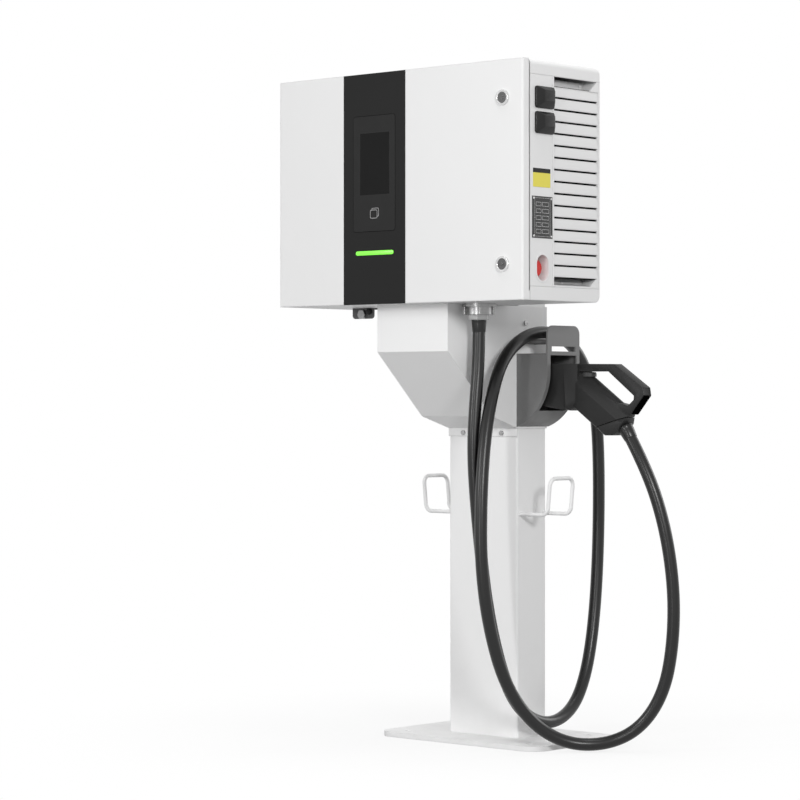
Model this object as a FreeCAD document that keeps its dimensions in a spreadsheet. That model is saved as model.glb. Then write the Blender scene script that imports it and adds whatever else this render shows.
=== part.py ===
import FreeCAD, Part
import math
import os
import re
import Sketcher

# A charging post for electric vehicles: a wall-box on a square tube, with its cable looped over two bars
# and its connector in a holster. Millimetres, +Z up, the front faces -Y.
# The origin is on the floor, at the centre of the tube.

SIZES = {
    # base and tube
    "base_width": 426.0, "base_depth": 274.0, "base_thickness": 10.0, "base_corner": 40.0,
    "anchor_pitch_x": 322.0, "anchor_pitch_y": 190.0, "anchor_radius": 7.0, "conduit_radius": 32.0,
    "post_width": 182.7, "post_depth": 91.4, "post_wall": 3.0, "post_corner": 5.0, "post_top": 1300.0,
    "cap_thickness": 4.0, "cap_skirt": 18.0, "slip_fit": 0.15,
    "window_width": 80.0, "window_rise": 42.7, "window_drop": 15.6,
    # enclosure
    "box_width": 646.6, "box_height": 460.0, "box_bottom": 885.6, "box_back": 74.7, "box_depth": 214.1,
    "sheet_wall": 2.0, "roof_lip": 28.6, "tray_lip": 26.4, "roof_corner": 10.0, "roof_inner": 8.0,
    "rear_corner": 15.0, "rear_inner": 13.0,
    "lip_width": 18.0, "lip_setback": 5.0, "side_strip": 67.2,
    "slot_count": 15, "slot_bottom": 68.16, "slot_height": 3.5, "slot_margin": 4.0, "slot_top": 69.0,
    "supply_cut_x": 120.0, "supply_cut_y": 60.0, "supply_cut_at": 160.0,
    # door and its front strip
    "door_gap": 1.0, "door_thickness": 20.9, "door_wall": 2.0, "door_edge": 4.5, "door_return": 16.0,
    "gasket_width": 11.0, "gasket_slack": 0.4,
    "strip_left": -142.7, "strip_right": 23.6, "strip_depth": 3.0,
    "screen_inset": 45.2, "screen_width": 78.5, "screen_rise": 218.4, "screen_height": 122.9,
    "screen_depth": 2.6, "screen_fit": 0.3, "module_border": 12.0, "module_depth": 30.0,
    "reader_inset": 84.0, "reader_rise": 182.4, "reader_width": 54.0, "reader_height": 46.0,
         "reader_depth": 14.0,
    "led_inset": 33.8, "led_width": 101.1, "led_rise": 102.4, "led_height": 8.5, "led_proud": 0.3,
    "led_flange": 3.0,
    # hinges
    "hinge_radius": 4.0, "hinge_offset": 4.5, "hinge_pin": 2.5, "pin_fit": 0.05, "hinge_barrel": 28.0,
    "hinge_leaf": 26.0, "hinge_inset": 70.0, "barrel_gap": 0.4,
    # locks
    "lock_inset": 49.8, "upper_lock_drop": 72.9, "lower_lock_rise": 69.2, "bezel_radius": 15.0,
    "bezel_proud": 3.5, "bezel_recess": 2.5, "plug_radius": 11.0, "barrel_radius": 10.0,
    "spindle_radius": 6.0,
    "cam_reach": 42.0, "cam_width": 14.0, "cam_thickness": 3.0, "running_fit": 0.05, "face_gap": 0.3,
    "key_post": 3.0, "key_proud": 1.5,
    # emergency stop
    "stop_setback": 36.8, "stop_rise": 62.4, "stop_ring": 2.0, "stop_wall": 1.2, "stop_cup": 19.0,
    "stop_tall": 26.0, "stop_cup_depth": 32.0,
    "stop_ring_proud": 0.8, "stop_head": 16.5, "stop_head_height": 15.0, "stop_stem": 8.0, "stop_travel": 4.0,
    "stop_block": 30.0, "stop_block_depth": 26.0,
    # right side trim
    "cover_setback": 12.8, "cover_width": 56.4, "cover_height": 42.0, "cover_drop": 50.6,
    "cover_pitch": 48.5,
    "cover_proud": 12.0, "cover_slope": 7.0,
    "plate_setback": 5.0, "plate_width": 61.2, "plate_rise": 118.9, "plate_height": 80.1,
    "plate_thickness": 0.8, "rivet_radius": 2.0, "rivet_inset": 4.0, "rivet_proud": 0.8,
    # inside the enclosure
    "chassis_margin": 24.0, "chassis_rise": 40.4, "chassis_drop": 42.6, "chassis_gap": 13.3,
    "standoff_radius": 6.0, "bracket_bolt": 4.0, "bolt_fit": 0.3, "bolt_head": 13.0, "bolt_head_height": 5.5,
    "nut_height": 6.5,
    "module_x": 118.0, "unit_width": 300.0, "unit_height": 108.0, "unit_depth": 105.0,
    "unit_rise": 126.4, "unit_pitch": 132.0, "fin_count": 12, "fin_depth": 8.0, "fin_gap": 5.0,
    "rail_start": 53.3, "rail_length": 222.0, "rail_rise": 99.4, "rail_height": 35.0, "rail_depth": 7.5,
    "breaker_start": 59.3, "breaker_width": 54.0, "breaker_height": 86.0, "breaker_depth": 62.0,
    "lever_radius": 8.0, "lever_width": 36.0, "lever_reach": 24.0, "lever_thickness": 8.0,
    "contactor_start": 133.3, "contactor_width": 55.0, "contactor_height": 72.0, "contactor_depth": 68.0,
    "contactor_gap": 12.0, "busbar_width": 18.0, "busbar_thickness": 4.0,
    "board_start": 123.3, "board_width": 152.0, "board_drop": 75.6, "board_gap": 71.0,
    "board_thickness": 1.6, "board_standoff": 12.0, "board_post": 3.5,
    "fan_size": 120.0, "fan_depth": 38.0, "fan_bore": 57.0, "fan_setback": 74.3, "upper_fan_drop": 110.6,
    "lower_fan_rise": 114.4, "fan_strut": 4.0, "fan_hub": 19.0, "fan_shaft": 2.0, "blade_tip": 54.5,
    "blade_thickness": 2.0, "blade_chord": 24.0, "blade_count": 7, "blade_pitch": 35.0,
    # bracket between the tube and the enclosure
    "channel_web": 40.0, "channel_wall": 4.0, "channel_rise": 124.4, "channel_drop": 55.6,
         "channel_inset": 29.35,
    "bolt_rise": 50.0, "bolt_drop": 50.0,
    # shroud below the enclosure
    "shroud_wall": 2.0, "shroud_setback": 24.8, "shroud_knee": 94.3, "shroud_toe": 83.2,
    "toe_drop": 223.6, "heel_drop": 248.3, "tab_height": 16.3, "screw_radius": 2.5,
    "screw_head": 5.0, "screw_head_height": 3.0, "tab_screw_inset": 40.35, "tab_screw_rise": 7.0,
    "side_screw_setback": 21.4, "side_screw_drop": 34.1,
    # cable hooks
    "hook_rod": 4.0, "hook_y": 37.0, "hook_low": 464.0, "hook_high": 537.0, "hook_reach": 71.0,
    "hook_flare": 7.0, "hook_bend": 16.0,
    # holster and saddle
    "holster_front": 174.0, "holster_rim": 9.5, "holster_wall": 4.0, "flange_rise": 56.0,
    "holster_corner_z": 672.4, "holster_slope": 0.39, "holster_bend": 118.0, 
    "mouth_side_gap": 8.0, "mouth_top_gap": 16.5, "flange_corner": 18.0,
    "slot_rise": 4.0, "slot_open": 10.0, "slot_rim": 13.5, "saddle_line": 830.5,
    "saddle_bar": 5.0, "saddle_apart": 32.0, "saddle_back": 10.0,
    # cable, gland and what hangs below the enclosure
    "cable_radius": 12.5, "gland_x": 130.0, "gland_y": -212.0, "gland_flange": 33.0, "flange_thickness": 7.0,
    "gland_body": 25.0, "gland_body_height": 15.6, "gland_nut": 36.0, "gland_nut_height": 10.0,
    "seal_squeeze": 0.5, "gland_screw_pitch": 28.5, "gland_screw_length": 22.0,
    "lug_left": -268.0, "lug_width": 60.0, "lug_drop": 22.0, "lug_foot": 22.0, "lug_y": -150.0,
    "lug_thickness": 4.0, "earth_bolt": 5.0, "earth_head": 18.0, "earth_head_height": 7.0,
    # connector
    "seat_gap": 0.3, "head_half": 34.0, "head_low": 674.0, "head_high": 768.5, "head_front": 136.0,
    "head_back": 217.0, "grip_half": 14.0, "barrel_half": 21.0, "shell_edge": 4.0,
    "nose_gap": 4.5, "nose_half": 27.0, "nose_low": 688.0, "nose_z": 736.0, "pin_hole": 4.0,
    "trigger_x": 240.0, "trigger_radius": 14.5, "trigger_top": 751.2, "trigger_travel": 3.0,
    "trigger_depth": 13.0, "exit_x": 332.0, "exit_z": 637.0, "cap_reach_low": 24.0, "cap_reach_high": 15.0,
}

# Planes that several pieces share.
RIGHT = "box_width / 2"
TOP = "box_bottom + box_height"
ROOF_LOW = "box_bottom + box_height - roof_lip"
TRAY_TOP = "box_bottom + tray_lip"
BACK = "-box_back"
BACK_INNER = "-(box_back + sheet_wall)"
FRONT = "-(box_back + box_depth)"
LIP_FRONT = "-(box_back + box_depth - lip_setback)"
LIP_BACK = "-(box_back + box_depth - lip_setback - sheet_wall)"
DOOR_BACK = "-(box_back + box_depth + door_gap)"
DOOR_FRONT = "-(box_back + box_depth + door_gap + door_thickness)"
STRIP_BACK = "-(box_back + box_depth + door_gap + door_thickness - strip_depth)"
JOGGLE_BACK = "-(box_back + box_depth + door_gap + door_thickness - strip_depth - door_wall)"
SIDE_SPLIT = "-(box_back + box_depth - side_strip)"
CHASSIS_BACK = "-(box_back + sheet_wall + chassis_gap)"
CHASSIS = "-(box_back + 2 * sheet_wall + chassis_gap)"
SHROUD_SIDE = "post_width / 2 + slip_fit + shroud_wall"
LOCK_X = "box_width / 2 - lock_inset"
UPPER_LOCK = f"{TOP} - upper_lock_drop"
LOWER_LOCK = "box_bottom + lower_lock_rise"
SLOT_PITCH = "(box_height - slot_top - slot_bottom) / (slot_count - 1)"
SCREEN_LEFT = "strip_left + screen_inset"
SCREEN_RIGHT = "strip_left + screen_inset + screen_width"
SCREEN_LOW = "box_bottom + screen_rise"
SCREEN_HIGH = "box_bottom + screen_rise + screen_height"
LED_LEFT = "strip_left + led_inset"
LED_RIGHT = "strip_left + led_inset + led_width"
LED_LOW = "box_bottom + led_rise - led_height / 2"
LED_HIGH = "box_bottom + led_rise + led_height / 2"
STOP_Y = f"{FRONT} + stop_setback"
STOP_Z = "box_bottom + stop_rise"
CHANNEL_X = "(post_width / 2 - channel_inset)"
CHANNEL_LOW = "box_bottom + channel_rise"
CHANNEL_HIGH = f"{TOP} - channel_drop"
BOLT_LOW = f"{CHANNEL_LOW} + bolt_rise"
BOLT_HIGH = f"{CHANNEL_HIGH} - bolt_drop"
MOUTH_HALF = "(head_half + mouth_side_gap)"
MOUTH_HIGH = "head_high + mouth_top_gap"
HOLSTER_HALF = "(head_half + mouth_side_gap + holster_rim)"
HOLSTER_TOP = "head_high + mouth_top_gap + holster_wall"
SHROUD_FRONT = f"{FRONT} + shroud_setback"
TOE_Y = "-post_depth / 2 - shroud_toe"
KNEE_Z = "box_bottom - shroud_knee"
TOE_Z = "box_bottom - toe_drop"
HEEL_Z = "box_bottom - heel_drop"
LEFT = "-box_width / 2"
BUSBAR_TOP = "box_bottom + rail_rise + contactor_height / 2 + board_gap - 6"
FAN_Y = f"{BACK} - fan_setback"
LOWER_FAN = "box_bottom + lower_fan_rise"
UPPER_FAN = f"{TOP} - upper_fan_drop"
HINGE_X = "-(box_width / 2 + hinge_offset)"
HINGE_Y = "-(box_back + box_depth + door_gap / 2)"

# The cable's route from the gland to the connector: under the front, up behind, over the saddle,
# down again in front, along the floor and up to the connector.
ROUTE = [
    (130, -212, 853), (130, -212, 778), (130, -223, 690), (130, -231, 590), (131, -217, 450),
         (133, -190, 275),
    (136, -140, 130), (139, -84, 63), (139, -2, 37), (134, 77, 59), (127, 131, 122), (121, 167, 230),
    (119, 184, 375), (120, 186, 550), (124, 172, 668), (128, 138, 748), (131, 90, 804), (132, 24, 832),
    (133, -44, 832), (137, -104, 811), (144, -159, 772), (152, -199, 706), (160, -231, 615), (167, -250, 495),
    (169, -252, 370), (173, -233, 250), (182, -197, 140), (204, -144, 60), (245, -84, 15), (304, -28, 13),
    (363, 7, 47), (407, 25, 120), (427, 28, 222), (430, 25, 335), (414, 14, 458), (380, 0, 564),
    (332, 0, 637),
]

DOC = FreeCAD.newDocument("charging_post")
SHEET = DOC.addObject("Spreadsheet::Sheet", "Sizes")
NODES = []
TURNS = {"x": ((0, 1, 0), 90), "y": ((1, 0, 0), -90), "z": ((0, 0, 1), 0)}
PLANES = {"x": "YZ_Plane", "y": "XZ_Plane", "z": "XY_Plane"}


def vector(point):
    return FreeCAD.Vector(*point)


def size(alias):
    return float(SHEET.get(alias))


def tie(thing, prop, expression):
    """Binds a property to the sheet: bare names in the expression are its aliases."""
    full = re.sub(r"[a-z][a-z_]+", lambda w: "Sizes." + w[0] if w[0] in SIZES else w[0], str(expression))
    thing.setExpression(prop, full)


def node(name, thing):
    """Registers a finished sub-part under the name of its file."""
    thing.Label = name
    NODES.append(thing)
    return thing


def block(name, x, y, z):
    """A box given by a (low, high) pair of expressions along each axis."""
    solid = DOC.addObject("Part::Box", name)
    for prop, axis, (low, high) in zip(("Length", "Width", "Height"), "xyz", (x, y, z)):
        tie(solid, prop, f"({high}) - ({low})")
        tie(solid, "Placement.Base." + axis, low)
    return solid


def place_along(solid, axis, at, low):
    turn, angle = TURNS[axis]
    solid.Placement = FreeCAD.Placement(vector((0, 0, 0)), FreeCAD.Rotation(vector(turn), angle))
    places = dict(zip([c for c in "xyz" if c != axis], at))
    places[axis] = low
    for letter, expression in places.items():
        tie(solid, "Placement.Base." + letter, expression)


def rod(name, axis, at, radius, span):
    """A cylinder along an axis, centred on the two other coordinates."""
    solid = DOC.addObject("Part::Cylinder", name)
    tie(solid, "Radius", radius)
    tie(solid, "Height", f"({span[1]}) - ({span[0]})")
    place_along(solid, axis, at, span[0])
    return solid


def hexagon(name, axis, at, across, span):
    """A hexagonal head or nut, given by its width across flats."""
    solid = DOC.addObject("Part::Prism", name)
    solid.Polygon = 6
    tie(solid, "Circumradius", f"({across}) / sqrt(3)")
    tie(solid, "Height", f"({span[1]}) - ({span[0]})")
    place_along(solid, axis, at, span[0])
    return solid


def obround(name, axis, at, half, tall, span):
    """An upright slot shape: two rods of the half width, one above the other, and the block between them."""
    across, up = at
    reach = f"({tall} - ({half}))"
    ends = [rod(f"{name}_end_{i}", axis, (across, f"{up} + {i} * {reach}"), half, span) for i in (-1, 1)]
    middle = block(f"{name}_middle", span, (f"{across} - ({half})", f"{across} + {half}"),
                   (f"{up} - {reach}", f"{up} + {reach}"))
    return join(name, *ends, middle)


def join(name, *solids):
    fused = DOC.addObject("Part::MultiFuse", name)
    fused.Shapes = list(solids)
    fused.Refine = True
    return fused


def cut(name, base, *tools):
    result = DOC.addObject("Part::Cut", name)
    result.Base = base
    result.Tool = tools[0] if len(tools) == 1 else join(name + "_tools", *tools)
    return result


def group(name, *solids):
    """Several like solids that share a node."""
    together = DOC.addObject("Part::Compound", name)
    together.Links = list(solids)
    return together


def corner_edges(shape, axis, wanted=lambda middle: True):
    """Numbers of the edges along an axis that lie at the corners of the shape's box."""
    box = shape.BoundBox
    limits = {"x": (box.XMin, box.XMax), "y": (box.YMin, box.YMax), "z": (box.ZMin, box.ZMax)}
    others = [c for c in "xyz" if c != axis]
    found = []
    for number, edge in enumerate(shape.Edges, 1):
        if edge.Curve.TypeId != "Part::GeomLine" or edge.Length < 1e-6:
            continue
        ends = [edge.Vertexes[0].Point, edge.Vertexes[-1].Point]
        middle = (ends[0] + ends[1]) * 0.5
        along = abs(getattr(ends[1] - ends[0], axis)) / edge.Length
        at_corner = all(min(abs(getattr(middle, c) - v) for v in limits[c]) < 1e-4 for c in others)
        if along > 0.9999 and at_corner and wanted(middle):
            found.append(number)
    return found


def rounded(name, base, radius, axes, wanted=lambda middle: True):
    """Rounds the corner edges that run along the given axes."""
    DOC.recompute()
    result = DOC.addObject("Part::Fillet", name)
    result.Base = base
    numbers = [n for axis in axes for n in corner_edges(base.Shape, axis, wanted)]
    result.Edges = [(n, size(radius), size(radius)) for n in numbers]
    return result


def rear_rounded(name, base, corner, radius):
    """Rounds the upper rear edge along X, and leaves the upright edges that run on from it sharp."""
    y, z = corner
    waste = cut(f"{name}_waste",
                block(f"{name}_corner", (f"-({RIGHT}) - 1", f"{RIGHT} + 1"), (f"{y} - {radius}", f"{y} + 1"),
                      (f"{z} - {radius}", f"{z} + 1")),
                rod(f"{name}_round", "x", (f"{y} - {radius}", f"{z} - {radius}"), radius,
                    (f"-({RIGHT}) - 2", f"{RIGHT} + 2")))
    return cut(name, base, waste)


def outline(body, name, axis, start, points):
    """A closed sketch of straight lines, each corner held at two expressions."""
    sketch = body.newObject("Sketcher::SketchObject", name)
    plane = next(f for f in body.Origin.OriginFeatures if f.Role == PLANES[axis])
    sketch.AttachmentSupport = [(plane, "")]
    sketch.MapMode = "FlatFace"
    tie(sketch, "AttachmentOffset.Base.z", f"-({start})" if axis == "y" else start)
    turn = 2 * math.pi / len(points)
    ring = [vector((math.cos(turn * i), math.sin(turn * i), 0)) for i in range(len(points))]
    for i, corner in enumerate(ring):
        sketch.addGeometry(Part.LineSegment(corner, ring[(i + 1) % len(ring)]), False)
    for i, (across, up) in enumerate(points):
        sketch.addConstraint(Sketcher.Constraint("Coincident", i, 2, (i + 1) % len(points), 1))
        for kind, expression, place in (("DistanceX", across, ring[i].x), ("DistanceY", up, ring[i].y)):
            number = sketch.addConstraint(Sketcher.Constraint(kind, -1, 1, i, 1, place))
            tie(sketch, f"Constraints[{number}]", expression)
    return sketch


def profile(name, axis, points, span):
    """A body padded from an outline: along +X or +Z from the low end, or from the high Y end towards -Y."""
    body = DOC.addObject("PartDesign::Body", name)
    start = span[1] if axis == "y" else span[0]
    sketch = outline(body, name + "_outline", axis, start, points)
    pad = body.newObject("PartDesign::Pad", name + "_pad")
    pad.Profile = sketch
    tie(pad, "Length", f"({span[1]}) - ({span[0]})")
    return body


def soften(body, radius, wanted):
    """Rounds the straight edges of a body that the test picks by middle and direction."""
    DOC.recompute()
    tip = body.Tip
    names = []
    for number, edge in enumerate(tip.Shape.Edges, 1):
        if edge.Curve.TypeId == "Part::GeomLine":
            ends = [v.Point for v in edge.Vertexes]
            if wanted((ends[0] + ends[1]) * 0.5, (ends[1] - ends[0]).normalize()):
                names.append(f"Edge{number}")
    fillet = body.newObject("PartDesign::Fillet", f"{body.Name}_round_{len(body.Group)}")
    fillet.Base = (tip, names)
    tie(fillet, "Radius", radius)
    DOC.recompute()
    return body


def turned(name, points):
    """A body turned about its own Z axis from (radius, height) points."""
    body = DOC.addObject("PartDesign::Body", name)
    sketch = outline(body, name + "_outline", "y", "0", points)
    turn = body.newObject("PartDesign::Revolution", name + "_turn")
    turn.Profile = sketch
    turn.ReferenceAxis = (sketch, ["V_Axis"])
    turn.Angle = 360
    return body


def route_arcs(points, share=0.45):
    """The radius of the tangent arc at each inner point: share of the shorter run over tan(half the turn)."""
    radii = []
    for before, at, after in zip(points, points[1:], points[2:]):
        first, second = at - before, after - at
        half_turn = first.getAngle(second) / 2
        radii.append(share * min(first.Length, second.Length) / math.tan(half_turn))
    return radii


def tube(points, radii, section):
    """A round bar along straight runs joined by tangent arcs, and the length of its centre line."""
    edges, last = [], points[0]
    for before, at, after, radius in zip(points, points[1:], points[2:], radii):
        into, out = (at - before).normalize(), (after - at).normalize()
        half_turn = into.getAngle(out) / 2
        reach = radius * math.tan(half_turn)
        start, end = at - into * reach, at + out * reach
        inward = (out - into).normalize()
        middle = at + inward * (radius / math.cos(half_turn) - radius)
        edges.append(Part.LineSegment(last, start).toShape())
        edges.append(Part.Arc(start, middle, end).toShape())
        last = end
    edges.append(Part.LineSegment(last, points[-1]).toShape())
    path = Part.Wire(edges)
    ring = Part.Wire(Part.Circle(points[0], points[1] - points[0], section).toShape())
    bar = path.makePipeShell([ring], True, False)
    ideal = math.pi * section ** 2 * path.Length
    assert abs(bar.Volume - ideal) < 0.005 * ideal, (bar.Volume, ideal)
    return bar, path.Length


def feature(name, shape):
    """A shape made with Part's own functions, for the pieces that bend in space."""
    thing = DOC.addObject("Part::Feature", name)
    thing.Shape = shape
    return thing


def base():
    plate = block("base_slab", ("-base_width / 2", "base_width / 2"), ("-base_depth / 2", "base_depth / 2"),
                  ("0", "base_thickness"))
    slab = rounded("base_rounded", plate, "base_corner", "z")
    holes = [rod(f"anchor_{i}{j}", "z", (f"{i} * anchor_pitch_x / 2", f"{j} * anchor_pitch_y / 2"),
                 "anchor_radius", ("-1", "base_thickness + 1")) for i in (-1, 1) for j in (-1, 1)]
    conduit = rod("conduit_hole", "z", ("0", "0"), "conduit_radius", ("-1", "base_thickness + 1"))
    node("base_plate", cut("base_plate", slab, conduit, *holes))


def post():
    outer = block("post_outer", ("-post_width / 2", "post_width / 2"), ("-post_depth / 2", "post_depth / 2"),
                  ("base_thickness", "post_top"))
    skin = rounded("post_skin", outer, "post_corner", "z")
    bore = block("post_bore", ("-(post_width / 2 - post_wall)", "post_width / 2 - post_wall"),
                 ("-(post_depth / 2 - post_wall)", "post_depth / 2 - post_wall"),
                 ("base_thickness - 1", "post_top + 1"))
    window = block("post_window", ("-window_width / 2", "window_width / 2"),
                   ("-post_depth / 2 - 1", "-post_depth / 2 + post_wall + 1"),
                   (f"{HEEL_Z} + window_rise", "box_bottom - window_drop"))
    node("post_tube", cut("post_tube", skin, bore, window))
    lid = rounded("cap_lid", block("cap_block", ("-post_width / 2", "post_width / 2"),
                                   ("-post_depth / 2", "post_depth / 2"),
                                   ("post_top", "post_top + cap_thickness")), "post_corner", "z")
    inset = "(post_wall + slip_fit)"
    skirt = block("cap_skirt_block", (f"-(post_width / 2 - {inset})", f"post_width / 2 - {inset}"),
                  (f"-(post_depth / 2 - {inset})", f"post_depth / 2 - {inset}"),
                  ("post_top - cap_skirt", "post_top"))
    half_x, half_y = f"(post_width / 2 - {inset} - post_wall)", f"(post_depth / 2 - {inset} - post_wall)"
    well = block("cap_well", (f"-{half_x}", half_x), (f"-{half_y}", half_y),
                 ("post_top - cap_skirt - 1", "post_top"))
    node("post_cap", join("post_cap", lid, cut("cap_skirt_ring", skirt, well)))


def mounting_brackets():
    """Two channels between the tube and the enclosure, and the four bolts that hold it."""
    channels, bolts = [], []
    for side in (-1, 1):
        name = "left" if side < 0 else "right"
        middle = f"{side} * {CHANNEL_X}"
        outer = block(f"channel_{name}", (f"{middle} - channel_web / 2", f"{middle} + channel_web / 2"),
                      (BACK, "-post_depth / 2"), (CHANNEL_LOW, CHANNEL_HIGH))
        hollow = block(f"channel_hollow_{name}",
                       (f"{middle} - channel_web / 2 + channel_wall",
                        f"{middle} + channel_web / 2 - channel_wall"),
                       ("-box_back + channel_wall", "-post_depth / 2 + 1"),
                       (f"{CHANNEL_LOW} - 1", f"{CHANNEL_HIGH} + 1"))
        holes = [rod(f"channel_hole_{name}_{i}", "y", (middle, level), "bracket_bolt + bolt_fit",
                     ("-box_back - 1", "-box_back + channel_wall + 1"))
                 for i, level in enumerate((BOLT_LOW, BOLT_HIGH))]
        channels.append(cut(f"bracket_{name}", outer, hollow, *holes))
        for i, level in enumerate((BOLT_LOW, BOLT_HIGH)):
            head = hexagon(f"bolt_head_{name}_{i}", "y", (middle, level), "bolt_head",
                           (BACK_INNER + " - bolt_head_height", BACK_INNER))
            nut_end = "-box_back + channel_wall + nut_height"
            shank = rod(f"bolt_shank_{name}_{i}", "y", (middle, level), "bracket_bolt",
                        (BACK_INNER, nut_end + " + 2"))
            nut = hexagon(f"bolt_nut_{name}_{i}", "y", (middle, level), "bolt_head",
                          ("-box_back + channel_wall", nut_end))
            bolts.append(join(f"bolt_{name}_{i}", head, shank, nut))
    node("mounting_brackets", group("mounting_brackets", *channels))
    node("bracket_bolts", group("bracket_bolts", *bolts))


def shroud():
    """The folded cover that leads the supply cables from the enclosure into the tube."""
    wall = "shroud_wall"
    side = SHROUD_SIDE
    skin = profile("shroud_skin", "x", [
        (SHROUD_FRONT, "box_bottom"), (SHROUD_FRONT, KNEE_Z), (TOE_Y, TOE_Z),
        ("-post_depth / 2", HEEL_Z), ("post_depth / 2", HEEL_Z), ("post_depth / 2", "box_bottom"),
    ], (f"-({side})", side))
    hollow = profile("shroud_hollow", "x", [
        (f"{SHROUD_FRONT} + {wall}", "box_bottom + 1"),
        (f"{SHROUD_FRONT} + {wall}", f"{KNEE_Z} + 0.4 * {wall}"),
        (f"{TOE_Y} + 0.4 * {wall}", f"{TOE_Z} + {wall}"),
        ("-post_depth / 2 - slip_fit", f"{HEEL_Z} + {wall}"),
        ("-post_depth / 2 - slip_fit", f"{HEEL_Z} - 1"),
        ("post_depth / 2 + 1", f"{HEEL_Z} - 1"), ("post_depth / 2 + 1", "box_bottom + 1"),
    ], (f"-({side} - {wall})", f"{side} - {wall}"))
    tab = block("shroud_tab", ("-post_width / 2", "post_width / 2"),
                (f"-post_depth / 2 - slip_fit - {wall}", "-post_depth / 2 - slip_fit"),
                (f"{HEEL_Z} - tab_height", f"{HEEL_Z} + {wall}"))
    node("cable_shroud", join("cable_shroud", cut("shroud_folded", skin, hollow), tab))
    screws = []
    tab_x, tab_z = "(post_width / 2 - tab_screw_inset)", f"{HEEL_Z} - tab_height + tab_screw_rise"
    side_at = ("-post_depth / 2 + side_screw_setback", "box_bottom - side_screw_drop")
    for i, side_sign in enumerate((-1, 1)):
        face = f"-post_depth / 2 - slip_fit - {wall}"
        screws.append(rod(f"tab_screw_{i}", "y", (f"{side_sign} * {tab_x}", tab_z), "screw_head",
                          (face + " - screw_head_height", face)))
        ends = [side, side + " + screw_head_height"] if side_sign > 0 else [
            f"-({side} + screw_head_height)", f"-({side})"]
        screws.append(rod(f"side_screw_{i}", "x", side_at, "screw_head", ends))
    for i, up in enumerate(("holster_corner_z", f"{HOLSTER_TOP} - 12")):
        screws.append(rod(f"holster_screw_{i}", "x", ("0", up), "screw_head",
                          (side + " + holster_wall", side + " + holster_wall + screw_head_height")))
    node("panel_screws", group("panel_screws", *screws))


def cable_hooks():
    """A bent rod on each side of the tube that the spare cable hangs on."""
    root = size("post_width") / 2
    out, high, low = root + size("hook_reach"), size("hook_high"), size("hook_low")
    far, half = out + size("hook_flare"), size("hook_y")
    for name, sign in (("left", -1), ("right", 1)):
        points = [vector(p) for p in (
            (sign * root, -half, low), (sign * out, -half, low), (sign * far, -half, high),
            (sign * far, half, high), (sign * out, half, low), (sign * root, half, low))]
        bar, _ = tube(points, [size("hook_bend")] * 4, size("hook_rod"))
        node(f"cable_hook_{name}", feature(f"cable_hook_{name}", bar))


def holster_slope(drop, inset):
    """Height of the holster's sloped floor at an inset from its front, raised by a wall's thickness."""
    return f"holster_corner_z + ({drop}) * sqrt(1 + holster_slope ^ 2) - ({inset}) * holster_slope"


def holster_radius(radius, reach):
    """The bend between the front and the sloped floor, no larger than the floor's length allows."""
    slant = "sqrt(1 + holster_slope ^ 2)"
    return f"min({radius}; 0.95 * ({reach}) * {slant} / ({slant} - holster_slope))"


def holster():
    """The pocket on the right side for the connector, and the two bars over it for the cable."""
    side = SHROUD_SIDE
    wall = "holster_wall"
    reach = f"holster_front - ({side})"
    body = profile("holster_solid", "y", [
        (side, HOLSTER_TOP), ("holster_front", HOLSTER_TOP), ("holster_front", "holster_corner_z"),
        (side, holster_slope("0", reach)),
    ], (f"-{HOLSTER_HALF}", HOLSTER_HALF))
    front, corner = size("holster_front"), size("holster_corner_z")
    soften(body, holster_radius("holster_bend", reach),
           lambda m, d: abs(d.y) > 0.99 and abs(m.x - front) < 0.01 and abs(m.z - corner) < 0.01)
    inner = profile("holster_inner", "y", [
        (f"{side} + {wall}", f"{HOLSTER_TOP} - {wall}"),
                                           (f"holster_front - {wall}", f"{HOLSTER_TOP} - {wall}"),
        (f"holster_front - {wall}", holster_slope(wall, wall)),
        (f"{side} + {wall}", holster_slope(wall, f"{reach} - {wall}")),
    ], (f"-{HOLSTER_HALF} + {wall}", f"{HOLSTER_HALF} - {wall}"))
    inner_front = front - size("holster_wall")
    soften(inner, holster_radius("holster_bend - holster_wall", f"{reach} - 2 * {wall}"),
           lambda m, d: abs(d.y) > 0.99 and abs(m.x - inner_front) < 0.01 and m.z < corner + 20)
    mouth = block("holster_mouth", (f"{side} + {wall}", "holster_front + 1"), (f"-{MOUTH_HALF}", MOUTH_HALF),
                  ("head_low - seat_gap", MOUTH_HIGH))
    flange = block("flange_block", (f"holster_front - {wall}", "holster_front"),
                   (f"-{HOLSTER_HALF}", HOLSTER_HALF),
                   (HOLSTER_TOP, f"{HOLSTER_TOP} + flange_rise"))
    flange_round = rounded("flange_round", flange, "flange_corner", "x",
                           lambda m: m.z > size("head_high") + 40)
    slot = block("flange_slot", (f"holster_front - {wall} - 1", "holster_front + 1"),
                 (f"-({HOLSTER_HALF} - slot_rim)", f"{HOLSTER_HALF} - slot_rim"),
                 (f"{HOLSTER_TOP} + slot_rise", f"{HOLSTER_TOP} + slot_rise + slot_open"))
    shell = cut("holster_shell", body, inner, mouth)
    node("holster_body", join("holster_body", shell, cut("flange_plate", flange_round, slot)))

    bars = [rod(f"saddle_bar_{i}", "x",
                (f"{i} * saddle_apart / 2 - saddle_back", "saddle_line - cable_radius - saddle_bar"),
                "saddle_bar",
                (side, f"holster_front - {wall}")) for i in (-1, 1)]
    node("cable_saddle", group("cable_saddle", *bars))


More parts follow.
